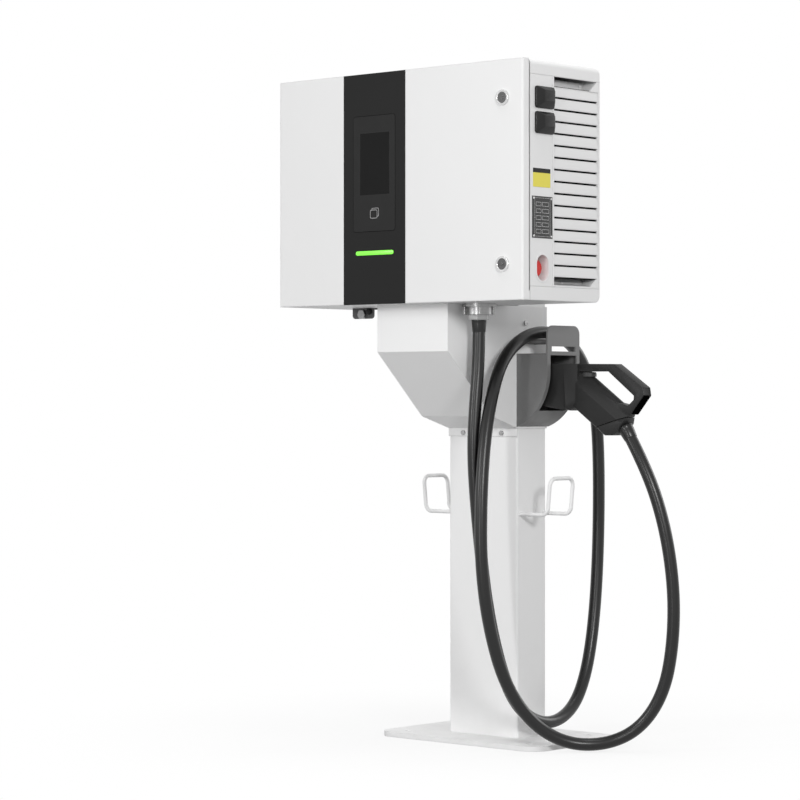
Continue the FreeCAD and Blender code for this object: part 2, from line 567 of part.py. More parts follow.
def enclosure():
    right = RIGHT
    wall = "sheet_wall"
    side_inner = f"{right} - {wall}"

    bottom = size("box_bottom")
    top, back = bottom + size("box_height"), -size("box_back")
    roof = rear_rounded("roof_rear_rounded",
                        rounded("roof_rounded",
                                block("roof_block", (f"-({right})", right), (FRONT, BACK), (ROOF_LOW, TOP)),
                                "roof_corner", "y", lambda m: m.z > top - 1),
                        (BACK, TOP), "rear_corner")
    roof_well = rear_rounded("roof_well_rear_rounded",
                             rounded("roof_well_rounded",
                                     block("roof_well", (f"-({side_inner})", side_inner),
                                           (LIP_BACK, BACK_INNER), (f"{ROOF_LOW} - 1", f"{TOP} - {wall}")),
                                     "roof_inner", "y", lambda m: m.z > top - 4),
                             (BACK_INNER, f"({TOP} - {wall})"), "rear_inner")
    roof_front = rounded("roof_front_rounded",
                         block("roof_front", (f"-({side_inner})", side_inner), (f"{FRONT} - 1", LIP_FRONT),
                               (f"{ROOF_LOW} - 1", f"{TOP} - {wall}")),
                         "roof_inner", "y", lambda m: m.z > top - 4)
    node("roof_cover", cut("roof_cover", roof, roof_well, roof_front))

    tray = rounded("tray_rounded",
                   block("tray_block", (f"-({right})", right), (FRONT, BACK), ("box_bottom", TRAY_TOP)),
                   "rear_corner", "x", lambda m: m.z < bottom + 1 and m.y > back - 1)
    tray_well = rounded("tray_well_rounded",
                        block("tray_well", (f"-({side_inner})", side_inner), (LIP_BACK, BACK_INNER),
                              (f"box_bottom + {wall}", f"{TRAY_TOP} + 1")),
                        "rear_inner", "x", lambda m: m.z < bottom + 4 and m.y > back - 4)
    tray_front = block("tray_front", (f"-({side_inner})", side_inner), (f"{FRONT} - 1", LIP_FRONT),
                       (f"box_bottom + {wall}", f"{TRAY_TOP} + 1"))
    supply = block("supply_cut", ("-supply_cut_x / 2", "supply_cut_x / 2"),
                   ("-supply_cut_at - supply_cut_y / 2", "-supply_cut_at + supply_cut_y / 2"),
                   ("box_bottom - 1", f"box_bottom + {wall} + 1"))
    gland_hole = rod("gland_hole", "z", ("gland_x", "gland_y"), "cable_radius + seal_squeeze",
                     ("box_bottom - 1", f"box_bottom + {wall} + 1"))
    node("bottom_tray", cut("bottom_tray", tray, tray_well, tray_front, supply, gland_hole))

    back = block("back_sheet", (f"-({right})", right), (BACK_INNER, BACK), (TRAY_TOP, ROOF_LOW))
    holes = [rod(f"back_hole_{i}_{k}", "y", (f"{i} * {CHANNEL_X}", level), "bracket_bolt + bolt_fit",
                 (f"{BACK_INNER} - 1", f"{BACK} + 1"))
             for i in (-1, 1) for k, level in enumerate((BOLT_LOW, BOLT_HIGH))]
    node("back_panel", cut("back_panel", back, *holes))

    for name, low, high, lip in (
        ("right", side_inner, right, (f"{right} - lip_width", side_inner)),
        ("left", f"-({right})", f"-({side_inner})", (f"-({side_inner})", f"-({right} - lip_width)")),
    ):
        strip = block(f"{name}_strip", (low, high), (FRONT, SIDE_SPLIT), (TRAY_TOP, ROOF_LOW))
        fold = block(f"{name}_lip", lip, (LIP_FRONT, LIP_BACK), (TRAY_TOP, ROOF_LOW))
        panel = join(f"{name}_folded", strip, fold)
        if name == "right":
            port = obround("stop_port", "x", (STOP_Y, STOP_Z), "stop_cup + slip_fit", "stop_tall + slip_fit",
                           (f"{side_inner} - 1", f"{right} + 1"))
            panel = cut("right_ported", panel, port)
        node(f"{name}_side_panel", panel)

        vent = block(f"{name}_vent_sheet", (low, high), (SIDE_SPLIT, BACK_INNER), (TRAY_TOP, ROOF_LOW))
        slots = [block(f"{name}_slot_{i}", (f"{low} - 1", f"{high} + 1"),
                       (f"{SIDE_SPLIT} + slot_margin", f"{BACK_INNER} - slot_margin"),
                       (f"{TOP} - slot_top - {i} * {SLOT_PITCH} - slot_height / 2",
                        f"{TOP} - slot_top - {i} * {SLOT_PITCH} + slot_height / 2"))
                 for i in range(int(SIZES["slot_count"]))]
        node(f"{name}_louvre_panel", cut(f"{name}_louvre_panel", vent, *slots))


def data_plate():
    right = RIGHT
    face = f"{right} + plate_thickness"
    front, low = f"{FRONT} + plate_setback", "box_bottom + plate_rise"
    rear, high = f"{front} + plate_width", f"{low} + plate_height"
    node("data_plate", block("data_plate", (right, face), (front, rear), (low, high)))
    heads = [rod(f"rivet_{i}{j}", "x", (across, up), "rivet_radius", (face, f"{face} + rivet_proud"))
             for i, across in enumerate((f"{front} + rivet_inset", f"{rear} - rivet_inset"))
             for j, up in enumerate((f"{low} + rivet_inset", f"{high} - rivet_inset"))]
    node("plate_rivets", group("plate_rivets", *heads))


def antenna_covers():
    """Two raised covers with sloped sides, drawn from the side and narrowed by four bevels."""
    right = RIGHT
    covers = []
    front, rear = f"{FRONT} + cover_setback", f"{FRONT} + cover_setback + cover_width"
    for i in range(2):
        high = f"{TOP} - cover_drop - {i} * cover_pitch"
        low = f"{high} - cover_height"
        tall = profile(f"cover_tall_{i}", "y", [
            (right, low), (right, high), (f"{right} + cover_proud", f"{high} - cover_slope"),
            (f"{right} + cover_proud", f"{low} + cover_slope"),
        ], (front, rear))
        wide = profile(f"cover_wide_{i}", "z", [
            (right, front), (f"{right} + cover_proud", f"{front} + cover_slope"),
            (f"{right} + cover_proud", f"{rear} - cover_slope"), (right, rear),
        ], (low, high))
        both = DOC.addObject("Part::MultiCommon", f"antenna_cover_{i}")
        both.Shapes = [tall, wide]
        covers.append(both)
    node("antenna_covers", group("antenna_covers", *covers))


def emergency_stop():
    right = RIGHT
    at = (STOP_Y, STOP_Z)
    bottom = f"{right} - stop_cup_depth"
    ring = obround("stop_ring_disc", "x", at, "stop_cup + stop_ring", "stop_tall + stop_ring",
                   (right, f"{right} + stop_ring_proud"))
    cup = obround("stop_cup_body", "x", at, "stop_cup", "stop_tall", (bottom, right))
    well = obround("stop_well", "x", at, "stop_cup - stop_wall", "stop_tall - stop_wall",
                   (f"{bottom} + sheet_wall", f"{right} + stop_ring_proud + 1"))
    throat = rod("stop_throat", "x", at, "stop_stem + running_fit",
                 (f"{bottom} - 1", f"{bottom} + sheet_wall + 1"))
    node("estop_cup", cut("estop_cup", join("stop_cup_joined", ring, cup), well, throat))

    block_face = f"{bottom} - stop_travel - 1"
    contact = block("contact_case", (f"{block_face} - stop_block_depth", bottom),
                    (f"{STOP_Y} - stop_block / 2", f"{STOP_Y} + stop_block / 2"),
                    (f"{STOP_Z} - stop_block / 2", f"{STOP_Z} + stop_block / 2"))
    socket = rod("contact_socket", "x", at, "stop_stem + running_fit", (block_face, f"{bottom} + 1"))
    node("estop_contact_block", cut("estop_contact_block", contact, socket))

    head_back = f"{bottom} + sheet_wall + stop_travel + face_gap"
    node("estop_stem", rod("estop_stem", "x", at, "stop_stem", (f"{bottom} - face_gap", head_back)))
    head = turned("estop_head", [
        ("0", "0"), ("stop_head - 4", "0"), ("stop_head", "5"), ("stop_head", "10"),
        ("stop_head - 4", "stop_head_height - 1.5"), ("0", "stop_head_height"),
    ])
    place_along(head, "x", at, head_back)
    node("estop_head", head)


def door():
    right = RIGHT
    inner = f"{right} - door_wall"
    slab = rounded("door_slab", block("door_block", (f"-({right})", right), (DOOR_FRONT, DOOR_BACK),
                                      ("box_bottom", TOP)), "door_edge", "z",
                   lambda m: m.y < -size("box_back") - size("box_depth") - size("door_gap") - 1)
    recess = block("strip_recess", ("strip_left", "strip_right"), (f"{DOOR_FRONT} - 1", STRIP_BACK),
                   ("box_bottom - 1", f"{TOP} + 1"))
    front_inner = f"{DOOR_FRONT} + door_wall"
    flange = f"{DOOR_BACK} - door_wall"
    z_span = ("box_bottom + door_wall", f"{TOP} - door_wall")
    left_cell = block("door_left_cell", (f"-({inner})", "strip_left - door_wall"), (front_inner, flange),
                      z_span)
    middle_cell = block("door_middle_cell", ("strip_left - door_wall - 1", "strip_right + door_wall + 1"),
                        (JOGGLE_BACK, flange), z_span)
    right_cell = block("door_right_cell", ("strip_right + door_wall", inner), (front_inner, flange), z_span)
    rim = "door_wall + door_return"
    mouth = block("door_mouth", (f"-({right} - {rim})", f"{right} - {rim}"),
                  (f"{flange} - 1", f"{DOOR_BACK} + 1"),
                  (f"box_bottom + {rim}", f"{TOP} - {rim}"))
    window = block("joggle_window", (f"{SCREEN_LEFT} - screen_fit", f"{SCREEN_RIGHT} + screen_fit"),
                   (f"{STRIP_BACK} - 1", f"{JOGGLE_BACK} + 1"),
                   (f"{SCREEN_LOW} - screen_fit", f"{SCREEN_HIGH} + screen_fit"))
    led_slot = block("joggle_led", (f"{LED_LEFT} - screen_fit", f"{LED_RIGHT} + screen_fit"),
                     (f"{STRIP_BACK} - 1", f"{JOGGLE_BACK} + 1"),
                     (f"{LED_LOW} - screen_fit", f"{LED_HIGH} + screen_fit"))
    bores = [rod(f"door_lock_hole_{i}", "y", (LOCK_X, up), "barrel_radius + slip_fit",
                 (f"{DOOR_FRONT} - 1", f"{front_inner} + 1"))
             for i, up in enumerate((UPPER_LOCK, LOWER_LOCK))]
    node("door_panel", cut("door_panel", slab, recess, left_cell, middle_cell, right_cell, mouth, window,
                           led_slot, *bores))

    frame = rounded("gasket_rounded",
                    block("gasket_block", (f"-({inner} - 1)", f"{inner} - 1"),
                          (f"{DOOR_BACK} + gasket_slack", LIP_FRONT),
                          ("box_bottom + door_wall + 1", f"{TOP} - door_wall - 1")),
                    "roof_inner", "y", lambda m: m.z > size("box_bottom") + size("box_height") - 6)
    hole = block("gasket_hole", (f"-({inner} - 1 - gasket_width)", f"{inner} - 1 - gasket_width"),
                 (f"{DOOR_BACK} - 1", f"{LIP_FRONT} + 1"),
                 ("box_bottom + door_wall + 1 + gasket_width", f"{TOP} - door_wall - 1 - gasket_width"))
    node("door_gasket", cut("door_gasket", frame, hole))


def front_strip():
    """The dark strip down the door with its display, card reader and light bar."""
    strip = block("strip_block", ("strip_left + slip_fit", "strip_right - slip_fit"),
                  (DOOR_FRONT, STRIP_BACK), ("box_bottom", TOP))
    window = block("strip_window", (f"{SCREEN_LEFT} - screen_fit", f"{SCREEN_RIGHT} + screen_fit"),
                   (f"{DOOR_FRONT} - 1", f"{STRIP_BACK} + 1"),
                   (f"{SCREEN_LOW} - screen_fit", f"{SCREEN_HIGH} + screen_fit"))
    slot = block("strip_led_slot", (f"{LED_LEFT} - screen_fit", f"{LED_RIGHT} + screen_fit"),
                 (f"{DOOR_FRONT} - 1", f"{STRIP_BACK} + 1"),
                 (f"{LED_LOW} - screen_fit", f"{LED_HIGH} + screen_fit"))
    node("fascia_panel", cut("fascia_panel", strip, window, slot))

    glass_back = f"{DOOR_FRONT} + screen_fit + screen_depth"
    node("display_screen", block("display_screen", (SCREEN_LEFT, SCREEN_RIGHT),
                                 (f"{DOOR_FRONT} + screen_fit", glass_back), (SCREEN_LOW, SCREEN_HIGH)))
    boss = block("module_boss", (SCREEN_LEFT, SCREEN_RIGHT), (glass_back, JOGGLE_BACK),
                 (SCREEN_LOW, SCREEN_HIGH))
    case = block("module_case", (f"{SCREEN_LEFT} - module_border", f"{SCREEN_RIGHT} + module_border"),
                 (JOGGLE_BACK, f"{JOGGLE_BACK} + module_depth"),
                 (f"{SCREEN_LOW} - module_border", f"{SCREEN_HIGH} + module_border"))
    node("display_module", join("display_module", boss, case))
    reader_x, reader_z = "strip_left + reader_inset", "box_bottom + reader_rise"
    node("card_reader", block("card_reader",
                              (f"{reader_x} - reader_width / 2", f"{reader_x} + reader_width / 2"),
                              (JOGGLE_BACK, f"{JOGGLE_BACK} + reader_depth"),
                              (f"{reader_z} - reader_height / 2 - 2", f"{reader_z} + reader_height / 2 - 2")))
    bar = rounded("led_bar", block("led_block", (LED_LEFT, LED_RIGHT),
                                   (f"{DOOR_FRONT} - led_proud", JOGGLE_BACK), (LED_LOW, LED_HIGH)),
                  "screen_depth", "y")
    foot = block("led_foot", (f"{LED_LEFT} - led_flange", f"{LED_RIGHT} + led_flange"),
                 (JOGGLE_BACK, f"{JOGGLE_BACK} + led_flange"),
                 (f"{LED_LOW} - led_flange", f"{LED_HIGH} + led_flange"))
    node("light_guide", join("light_guide", bar, foot))


def hinges():
    """Two lift-off hinges on the left side."""
    side = f"-({RIGHT})"
    axis = (HINGE_X, HINGE_Y)
    fixed, moving, pins = [], [], []
    for i, low in enumerate(("box_bottom + hinge_inset", f"{TOP} - hinge_inset - 2 * hinge_barrel")):
        middle = f"{low} + hinge_barrel"
        top = f"{low} + 2 * hinge_barrel"
        plate = (f"{side} - sheet_wall", side)
        lower = rod(f"hinge_lower_{i}", "z", axis, "hinge_radius", (low, middle))
        lower_leaf = block(f"hinge_lower_leaf_{i}", plate, (f"{FRONT} + 0.5", f"{FRONT} + hinge_leaf"),
                           (low, middle))
        web = block(f"hinge_lower_web_{i}", (HINGE_X, side), (HINGE_Y, f"{FRONT} + hinge_leaf / 4"),
                    (low, middle))
        web_trim = block(f"hinge_web_trim_{i}", (side, "0"), (DOOR_FRONT, "0"),
                         (f"{low} - 1", f"{middle} + 1"))
        pin_hole = rod(f"hinge_pin_hole_{i}", "z", axis, "hinge_pin", (low, middle))
        fixed.append(cut(f"hinge_fixed_{i}", join(f"hinge_fixed_solid_{i}", lower, lower_leaf, web), web_trim,
                         pin_hole))
        upper = rod(f"hinge_upper_{i}", "z", axis, "hinge_radius", (f"{middle} + barrel_gap", top))
        upper_leaf = block(f"hinge_upper_leaf_{i}", plate,
                           (f"{DOOR_FRONT} + door_edge", f"{DOOR_BACK} - 0.5"),
                           (f"{middle} + barrel_gap", top))
        upper_web = block(f"hinge_upper_web_{i}", (HINGE_X, f"{side} - 0.5"),
                          (f"{DOOR_BACK} - hinge_radius", HINGE_Y),
                          (f"{middle} + barrel_gap", top))
        bore = rod(f"hinge_bore_{i}", "z", axis, "hinge_pin + pin_fit", (middle, f"{top} + 1"))
        moving.append(cut(f"hinge_moving_{i}",
                          join(f"hinge_moving_solid_{i}", upper, upper_leaf, upper_web), bore))
        pins.append(rod(f"hinge_pin_{i}", "z", axis, "hinge_pin", (low, top)))
    node("hinge_fixed_leaves", group("hinge_fixed_leaves", *fixed))
    node("hinge_door_leaves", group("hinge_door_leaves", *moving))
    node("hinge_pins", group("hinge_pins", *pins))


def locks():
    """Two quarter-turn locks: a housing through the door, and a plug whose cam grips the side lip."""
    housings = []
    for name, up in (("upper", UPPER_LOCK), ("lower", LOWER_LOCK)):
        at = (LOCK_X, up)
        bezel_face = f"{DOOR_FRONT} - bezel_proud"
        recess_floor = f"{bezel_face} + bezel_recess"
        barrel_end = f"{LIP_FRONT} - 3"
        bezel = rod(f"{name}_bezel", "y", at, "bezel_radius", (bezel_face, DOOR_FRONT))
        barrel = rod(f"{name}_barrel", "y", at, "barrel_radius", (DOOR_FRONT, barrel_end))
        recess = rod(f"{name}_recess", "y", at, "plug_radius + running_fit",
                     (f"{bezel_face} - 1", recess_floor))
        bore = rod(f"{name}_bore", "y", at, "spindle_radius + running_fit", (bezel_face, f"{barrel_end} + 1"))
        housings.append(cut(f"{name}_lock_housing", join(f"{name}_housing_solid", bezel, barrel), recess,
                            bore))
        disc = rod(f"{name}_disc", "y", at, "plug_radius",
                   (f"{bezel_face} + face_gap", f"{recess_floor} - 0.1"))
        key = rod(f"{name}_key_post", "y", at, "key_post",
                  (f"{bezel_face} - key_proud", f"{bezel_face} + face_gap"))
        cam_back = f"{LIP_BACK} + face_gap + cam_thickness"
        spindle = rod(f"{name}_spindle", "y", at, "spindle_radius", (f"{recess_floor} - 0.1", cam_back))
        cam = block(f"{name}_cam", (f"{LOCK_X} - cam_width / 2", f"{LOCK_X} + cam_width / 2"),
                    (f"{LIP_BACK} + face_gap", cam_back), (f"{up} - cam_reach", f"{up} + cam_width / 2"))
        node(f"{name}_lock_plug", join(f"{name}_lock_plug", disc, key, spindle, cam))
    node("lock_housings", group("lock_housings", *housings))


def chassis():
    right = RIGHT
    low, high = f"-({right} - sheet_wall - fan_depth - face_gap - 4)", f"{right} - chassis_margin"
    bottom, top = "box_bottom + chassis_rise", f"{TOP} - chassis_drop"
    plate = block("chassis_sheet", (low, high), (CHASSIS, CHASSIS_BACK), (bottom, top))
    node("chassis_plate", plate)
    spacers = [rod(f"spacer_{i}{j}", "y", (across, up), "standoff_radius", (CHASSIS_BACK, BACK_INNER))
               for i, across in enumerate((f"{low} + 20", f"{high} - 20"))
               for j, up in enumerate((f"{bottom} + 20", f"{top} - 20"))]
    board_back = f"{CHASSIS} - board_standoff"
    board_left, board_high = f"{LEFT} + board_start", f"{TOP} - board_drop"
    board_right, board_low = f"{board_left} + board_width", f"{BUSBAR_TOP} + 6"
    spacers += [rod(f"board_spacer_{i}{j}", "y", (across, up), "board_post", (board_back, CHASSIS))
                for i, across in enumerate((f"{board_left} + 8", f"{board_right} - 8"))
                for j, up in enumerate((f"{board_low} + 8", f"{board_high} - 8"))]
    node("standoffs", group("standoffs", *spacers))
    node("control_board", block("control_board", (board_left, board_right),
                                (f"{board_back} - board_thickness", board_back), (board_low, board_high)))


def power_units():
    """Two rectifier units, each with fins cut across its front."""
    units = []
    for i in range(2):
        low = f"box_bottom + unit_rise - unit_height / 2 + {i} * unit_pitch"
        left = "module_x - unit_width / 2"
        front = f"{CHASSIS} - unit_depth"
        case = block(f"unit_case_{i}", (left, "module_x + unit_width / 2"), (front, CHASSIS),
                     (low, f"{low} + unit_height"))
        pitch = "unit_width / fin_count"
        gaps = [block(f"unit_gap_{i}_{k}", (f"{left} + ({k} + 0.5) * {pitch} - fin_gap / 2",
                                            f"{left} + ({k} + 0.5) * {pitch} + fin_gap / 2"),
                      (f"{front} - 1", f"{front} + fin_depth"), (f"{low} - 1", f"{low} + unit_height + 1"))
                for k in range(int(SIZES["fin_count"]))]
        units.append(cut(f"power_unit_{i}", case, *gaps))
    node("power_units", group("power_units", *units))


def switchgear():
    rail_z, rail_left = "box_bottom + rail_rise", f"{LEFT} + rail_start"
    rail = block("din_rail", (rail_left, f"{rail_left} + rail_length"), (f"{CHASSIS} - rail_depth", CHASSIS),
                 (f"{rail_z} - rail_height / 2", f"{rail_z} + rail_height / 2"))
    node("din_rail", rail)
    rail_face = f"{CHASSIS} - rail_depth"
    front = f"{rail_face} - breaker_depth"
    pivot = f"{front} + lever_radius / 4"
    breaker_left = f"{LEFT} + breaker_start"
    case = block("breaker_case", (breaker_left, f"{breaker_left} + breaker_width"), (front, rail_face),
                 (f"{rail_z} - breaker_height / 2", f"{rail_z} + breaker_height / 2"))
    middle = f"{breaker_left} + breaker_width / 2"
    pocket = rod("lever_pocket", "x", (pivot, rail_z), "lever_radius + running_fit",
                 (f"{middle} - lever_width / 2 - face_gap", f"{middle} + lever_width / 2 + face_gap"))
    node("breaker_body", cut("breaker_body", case, pocket))
    hub = rod("lever_hub", "x", (pivot, rail_z), "lever_radius",
              (f"{middle} - lever_width / 2", f"{middle} + lever_width / 2"))
    # The toggle leans 40 degrees up from the front: a bar drawn along that slope.
    lean_y, lean_z = math.cos(math.radians(40)), math.sin(math.radians(40))
    corners = []
    for along, across in ((0, -0.5), (1, -0.5), (1, 0.5), (0, 0.5)):
        corners.append((
            f"{pivot} - lever_reach * {along} * {lean_y:.6f} + lever_thickness * {across} * {lean_z:.6f}",
            f"{rail_z} + lever_reach * {along} * {lean_z:.6f} + lever_thickness * {across} * {lean_y:.6f}"))
    toggle = profile("lever_toggle", "x", corners,
                     (f"{middle} - lever_width / 4", f"{middle} + lever_width / 4"))
    node("breaker_lever", join("breaker_lever", hub, toggle))

    contactors, bars = [], []
    for i in range(2):
        left = f"{LEFT} + contactor_start + {i} * (contactor_width + contactor_gap)"
        contactors.append(block(f"contactor_{i}", (left, f"{left} + contactor_width"),
                                (f"{rail_face} - contactor_depth", rail_face),
                                (f"{rail_z} - contactor_height / 2", f"{rail_z} + contactor_height / 2")))
        bar_left = f"{left} + contactor_width / 2 - busbar_width / 2"
        bars.append(block(f"busbar_{i}", (bar_left, f"{bar_left} + busbar_width"),
                          (f"{rail_face} - busbar_thickness - 4", f"{rail_face} - 4"),
                          (f"{rail_z} + contactor_height / 2", BUSBAR_TOP)))
    node("contactors", group("contactors", *contactors))
    node("busbars", group("busbars", *bars))


def fan_rotor(name, height):
    """A hub with pitched blades on a shaft that stands out of the frame's spider."""
    inner = -size("box_width") / 2 + size("sheet_wall")
    back = inner + size("fan_strut") + size("face_gap")
    length = size("fan_depth") - size("fan_strut") - 6
    axis = vector((1, 0, 0))
    centre = vector((back, -size("box_back") - size("fan_setback"), height))
    hub = Part.makeCylinder(size("fan_hub"), length, centre, axis)
    bore = Part.makeCylinder(size("fan_shaft") + size("running_fit"), length - 4, centre, axis)
    blades = []
    count = int(size("blade_count"))
    root = size("fan_hub") - 2
    for i in range(count):
        blade = Part.makeBox(size("blade_chord"), size("blade_thickness"), size("blade_tip") - root - 1)
        blade.translate(vector((-size("blade_chord") / 2, -size("blade_thickness") / 2, root)))
        blade.rotate(vector((0, 0, 0)), vector((0, 0, 1)), size("blade_pitch"))
        blade.rotate(vector((0, 0, 0)), axis, 360 * i / count)
        blade.translate(centre + axis * (length / 2))
        blades.append(blade)
    return feature(name, hub.multiFuse(blades).cut(bore).removeSplitter())


def fans():
    """Two axial fans that blow out through the left louvres."""
    inner = f"-({RIGHT} - sheet_wall)"
    frames = []
    for i, up in enumerate((LOWER_FAN, UPPER_FAN)):
        at = (FAN_Y, up)
        case = block(f"fan_case_{i}", (inner, f"{inner} + fan_depth"),
                     (f"{FAN_Y} - fan_size / 2", f"{FAN_Y} + fan_size / 2"),
                     (f"{up} - fan_size / 2", f"{up} + fan_size / 2"))
        bore = rod(f"fan_bore_{i}", "x", at, "fan_bore", (f"{inner} - 1", f"{inner} + fan_depth + 1"))
        strut_end = f"{inner} + fan_strut"
        tall = block(f"fan_strut_tall_{i}", (inner, strut_end),
                     (f"{FAN_Y} - fan_strut / 2", f"{FAN_Y} + fan_strut / 2"),
                     (f"{up} - fan_bore - 1", f"{up} + fan_bore + 1"))
        wide = block(f"fan_strut_wide_{i}", (inner, strut_end),
                     (f"{FAN_Y} - fan_bore - 1", f"{FAN_Y} + fan_bore + 1"),
                     (f"{up} - fan_strut / 2", f"{up} + fan_strut / 2"))
        spider = rod(f"fan_spider_{i}", "x", at, "fan_hub", (inner, strut_end))
        shaft = rod(f"fan_shaft_{i}", "x", at, "fan_shaft", (inner, f"{strut_end} + fan_depth / 2"))
        frames.append(join(f"fan_frame_{i}", cut(f"fan_ring_{i}", case, bore), tall, wide, spider, shaft))
    node("fan_frames", group("fan_frames", *frames))
    low = size("box_bottom") + size("lower_fan_rise")
    high = size("box_bottom") + size("box_height") - size("upper_fan_drop")
    node("lower_fan_rotor", fan_rotor("lower_fan_rotor", low))
    node("upper_fan_rotor", fan_rotor("upper_fan_rotor", high))


def gland():
    """The cable gland in three pieces, and the screws that hold its flange."""
    at = ("gland_x", "gland_y")
    bore = "cable_radius - seal_squeeze"
    flange_low = "box_bottom - flange_thickness"
    body_low = f"{flange_low} - gland_body_height"
    flange = rod("gland_flange_disc", "z", at, "gland_flange", (flange_low, "box_bottom"))
    neck = rod("gland_neck", "z", at, "gland_body", (body_low, flange_low))
    hole = rod("gland_body_hole", "z", at, bore, (f"{body_low} - 1", "box_bottom + 1"))
    node("gland_body", cut("gland_body", join("gland_solid", flange, neck), hole))
    nut = hexagon("gland_nut_solid", "z", at, "gland_nut", (f"{body_low} - gland_nut_height", body_low))
    nut_hole = rod("gland_nut_hole", "z", at, bore, (f"{body_low} - gland_nut_height - 1", f"{body_low} + 1"))
    node("gland_nut", cut("gland_nut", nut, nut_hole))
    screws = []
    for i in range(4):
        turn = math.radians(45 + 90 * i)
        where = (f"gland_x + gland_screw_pitch * {math.cos(turn):.6f}",
                 f"gland_y + gland_screw_pitch * {math.sin(turn):.6f}")
        screws.append(rod(f"gland_screw_{i}", "z", where, "screw_radius",
                          (f"{flange_low} - gland_screw_length + 7", flange_low)))
    node("gland_screws", group("gland_screws", *screws))


def earth_point():
    """A folded lug under the enclosure with its bolt."""
    x = ("lug_left", "lug_left + lug_width")
    foot = block("lug_foot_sheet", x, ("lug_y", "lug_y + lug_foot"),
                 ("box_bottom - lug_thickness", "box_bottom"))
    tab = block("lug_tab", x, ("lug_y", "lug_y + lug_thickness"), ("box_bottom - lug_drop", "box_bottom"))
    at = ("lug_left + lug_width / 2", "box_bottom - lug_drop / 2 - 2")
    hole = rod("lug_hole", "y", at, "earth_bolt", ("lug_y - 1", "lug_y + lug_thickness + 1"))
    node("earth_lug", cut("earth_lug", join("lug_folded", foot, tab), hole))
    head = hexagon("earth_bolt_head", "y", at, "earth_head", ("lug_y - earth_head_height", "lug_y"))
    shank = rod("earth_bolt_shank", "y", at, "earth_bolt", ("lug_y", "lug_y + lug_thickness + 10"))
    node("earth_bolt", join("earth_bolt", head, shank))


def connector():
    """The plug that the driver holds: head, open grip, barrel, end cap, nose and release button."""
    seam_low, seam_high = ("270", "641"), ("344", "662")
    head = profile("head_solid", "y", [
        ("head_front", "head_low"), ("head_front", "head_high"), ("head_back", "head_high"),
        ("head_back", "head_low + 30"), ("head_back - 9", "head_low"),
    ], ("-head_half", "head_half"))
    soften(head, "shell_edge", lambda m, d: abs(d.x) > 0.99)
    grip = profile("grip_solid", "y", [
        ("head_back - 20", "head_low + 40"), ("head_back - 20", "head_high"), ("311.6", "head_high - 2"),
        ("382", "719.5"), ("384.7", "703.5"), ("353", "666.2"), seam_high, ("300", "690"),
    ], ("-grip_half", "grip_half"))
    hand = profile("hand_opening", "y", [
        ("223", "752"), ("296.4", "752"), ("359.9", "703.5"), ("359.5", "695.8"), ("345.5", "684"),
        ("261.5", "745"), ("223", "745"),
    ], ("-head_half - 1", "head_half + 1"))
    barrel = profile("barrel_solid", "y", [
        ("head_back - 9", "head_low + 1"), ("head_back - 9", "745"), ("261.5", "745"), ("345.5", "684"),
        seam_high, seam_low, ("head_back - 7", "680"),
    ], ("-barrel_half", "barrel_half"))
    soften(barrel, "shell_edge", lambda m, d: abs(d.y) < 0.01 and m.x > 240 and m.z < 730)
    well = rod("trigger_well", "z", ("trigger_x", "0"), "trigger_radius + running_fit",
               ("trigger_top - trigger_depth", "trigger_top"))
    shell = join("shell_solid", head, grip, barrel)
    node("connector_shell", cut("connector_shell", shell, hand, well))

    # The cable's last run gives the slope of the end cap's face, which stands a gap's width off the cable.
    slope = (vector(ROUTE[-1]) - vector(ROUTE[-2])).normalize()
    face_x, face_z = f"exit_x + face_gap * ({slope.x})", f"exit_z + face_gap * ({slope.z})"
    foot_x, foot_z = f"{face_x} - cap_reach_low * {slope.z}", f"{face_z} - cap_reach_low * {-slope.x}"
    brow_x, brow_z = f"{face_x} + cap_reach_high * {slope.z}", f"{face_z} + cap_reach_high * {-slope.x}"
    cap = profile("end_cap_solid", "y", [
        seam_low, seam_high, (brow_x, brow_z), (foot_x, foot_z), ("298.6", "625"), ("277.2", "636.4"),
    ], ("-barrel_half", "barrel_half"))
    node("connector_end_cap", cap)

    nose_front = f"{SHROUD_SIDE} + holster_wall + nose_gap"
    nose = rod("nose_round", "x", ("0", "nose_z"), "nose_half", (nose_front, "head_front"))
    chin = rounded("nose_chin",
                   block("nose_chin_block", (nose_front, "head_front"), ("-nose_half + 4", "nose_half - 4"),
                                      ("nose_low", "nose_z")), "shell_edge", "x")
    ring = [rod(f"pin_hole_{i}", "x",
                (f"{16 * math.cos(math.radians(60 * i)):.4f}",
                 f"nose_z + {16 * math.sin(math.radians(60 * i)):.4f}"),
                "pin_hole", (f"{nose_front} - 1", f"{nose_front} + 14")) for i in range(6)]
    power = [rod(f"power_hole_{i}", "x", (f"{11 * i}", "nose_low + 11"), "pin_hole + 2",
                 (f"{nose_front} - 1", f"{nose_front} + 14")) for i in (-1, 1)]
    node("connector_nose", cut("connector_nose", join("nose_solid", nose, chin), *ring, *power))

    node("trigger_button", rod("trigger_button", "z", ("trigger_x", "0"), "trigger_radius",
                               ("trigger_top - trigger_depth + trigger_travel + face_gap",
                                "trigger_top")))


def charging_cable():
    points = [vector(p) for p in ROUTE]
    radii = route_arcs(points)
    solid, length = tube(points, radii, size("cable_radius"))
    print("cable length", round(length), "radii", [round(r) for r in radii])
    node("charging_cable", feature("charging_cable", solid))


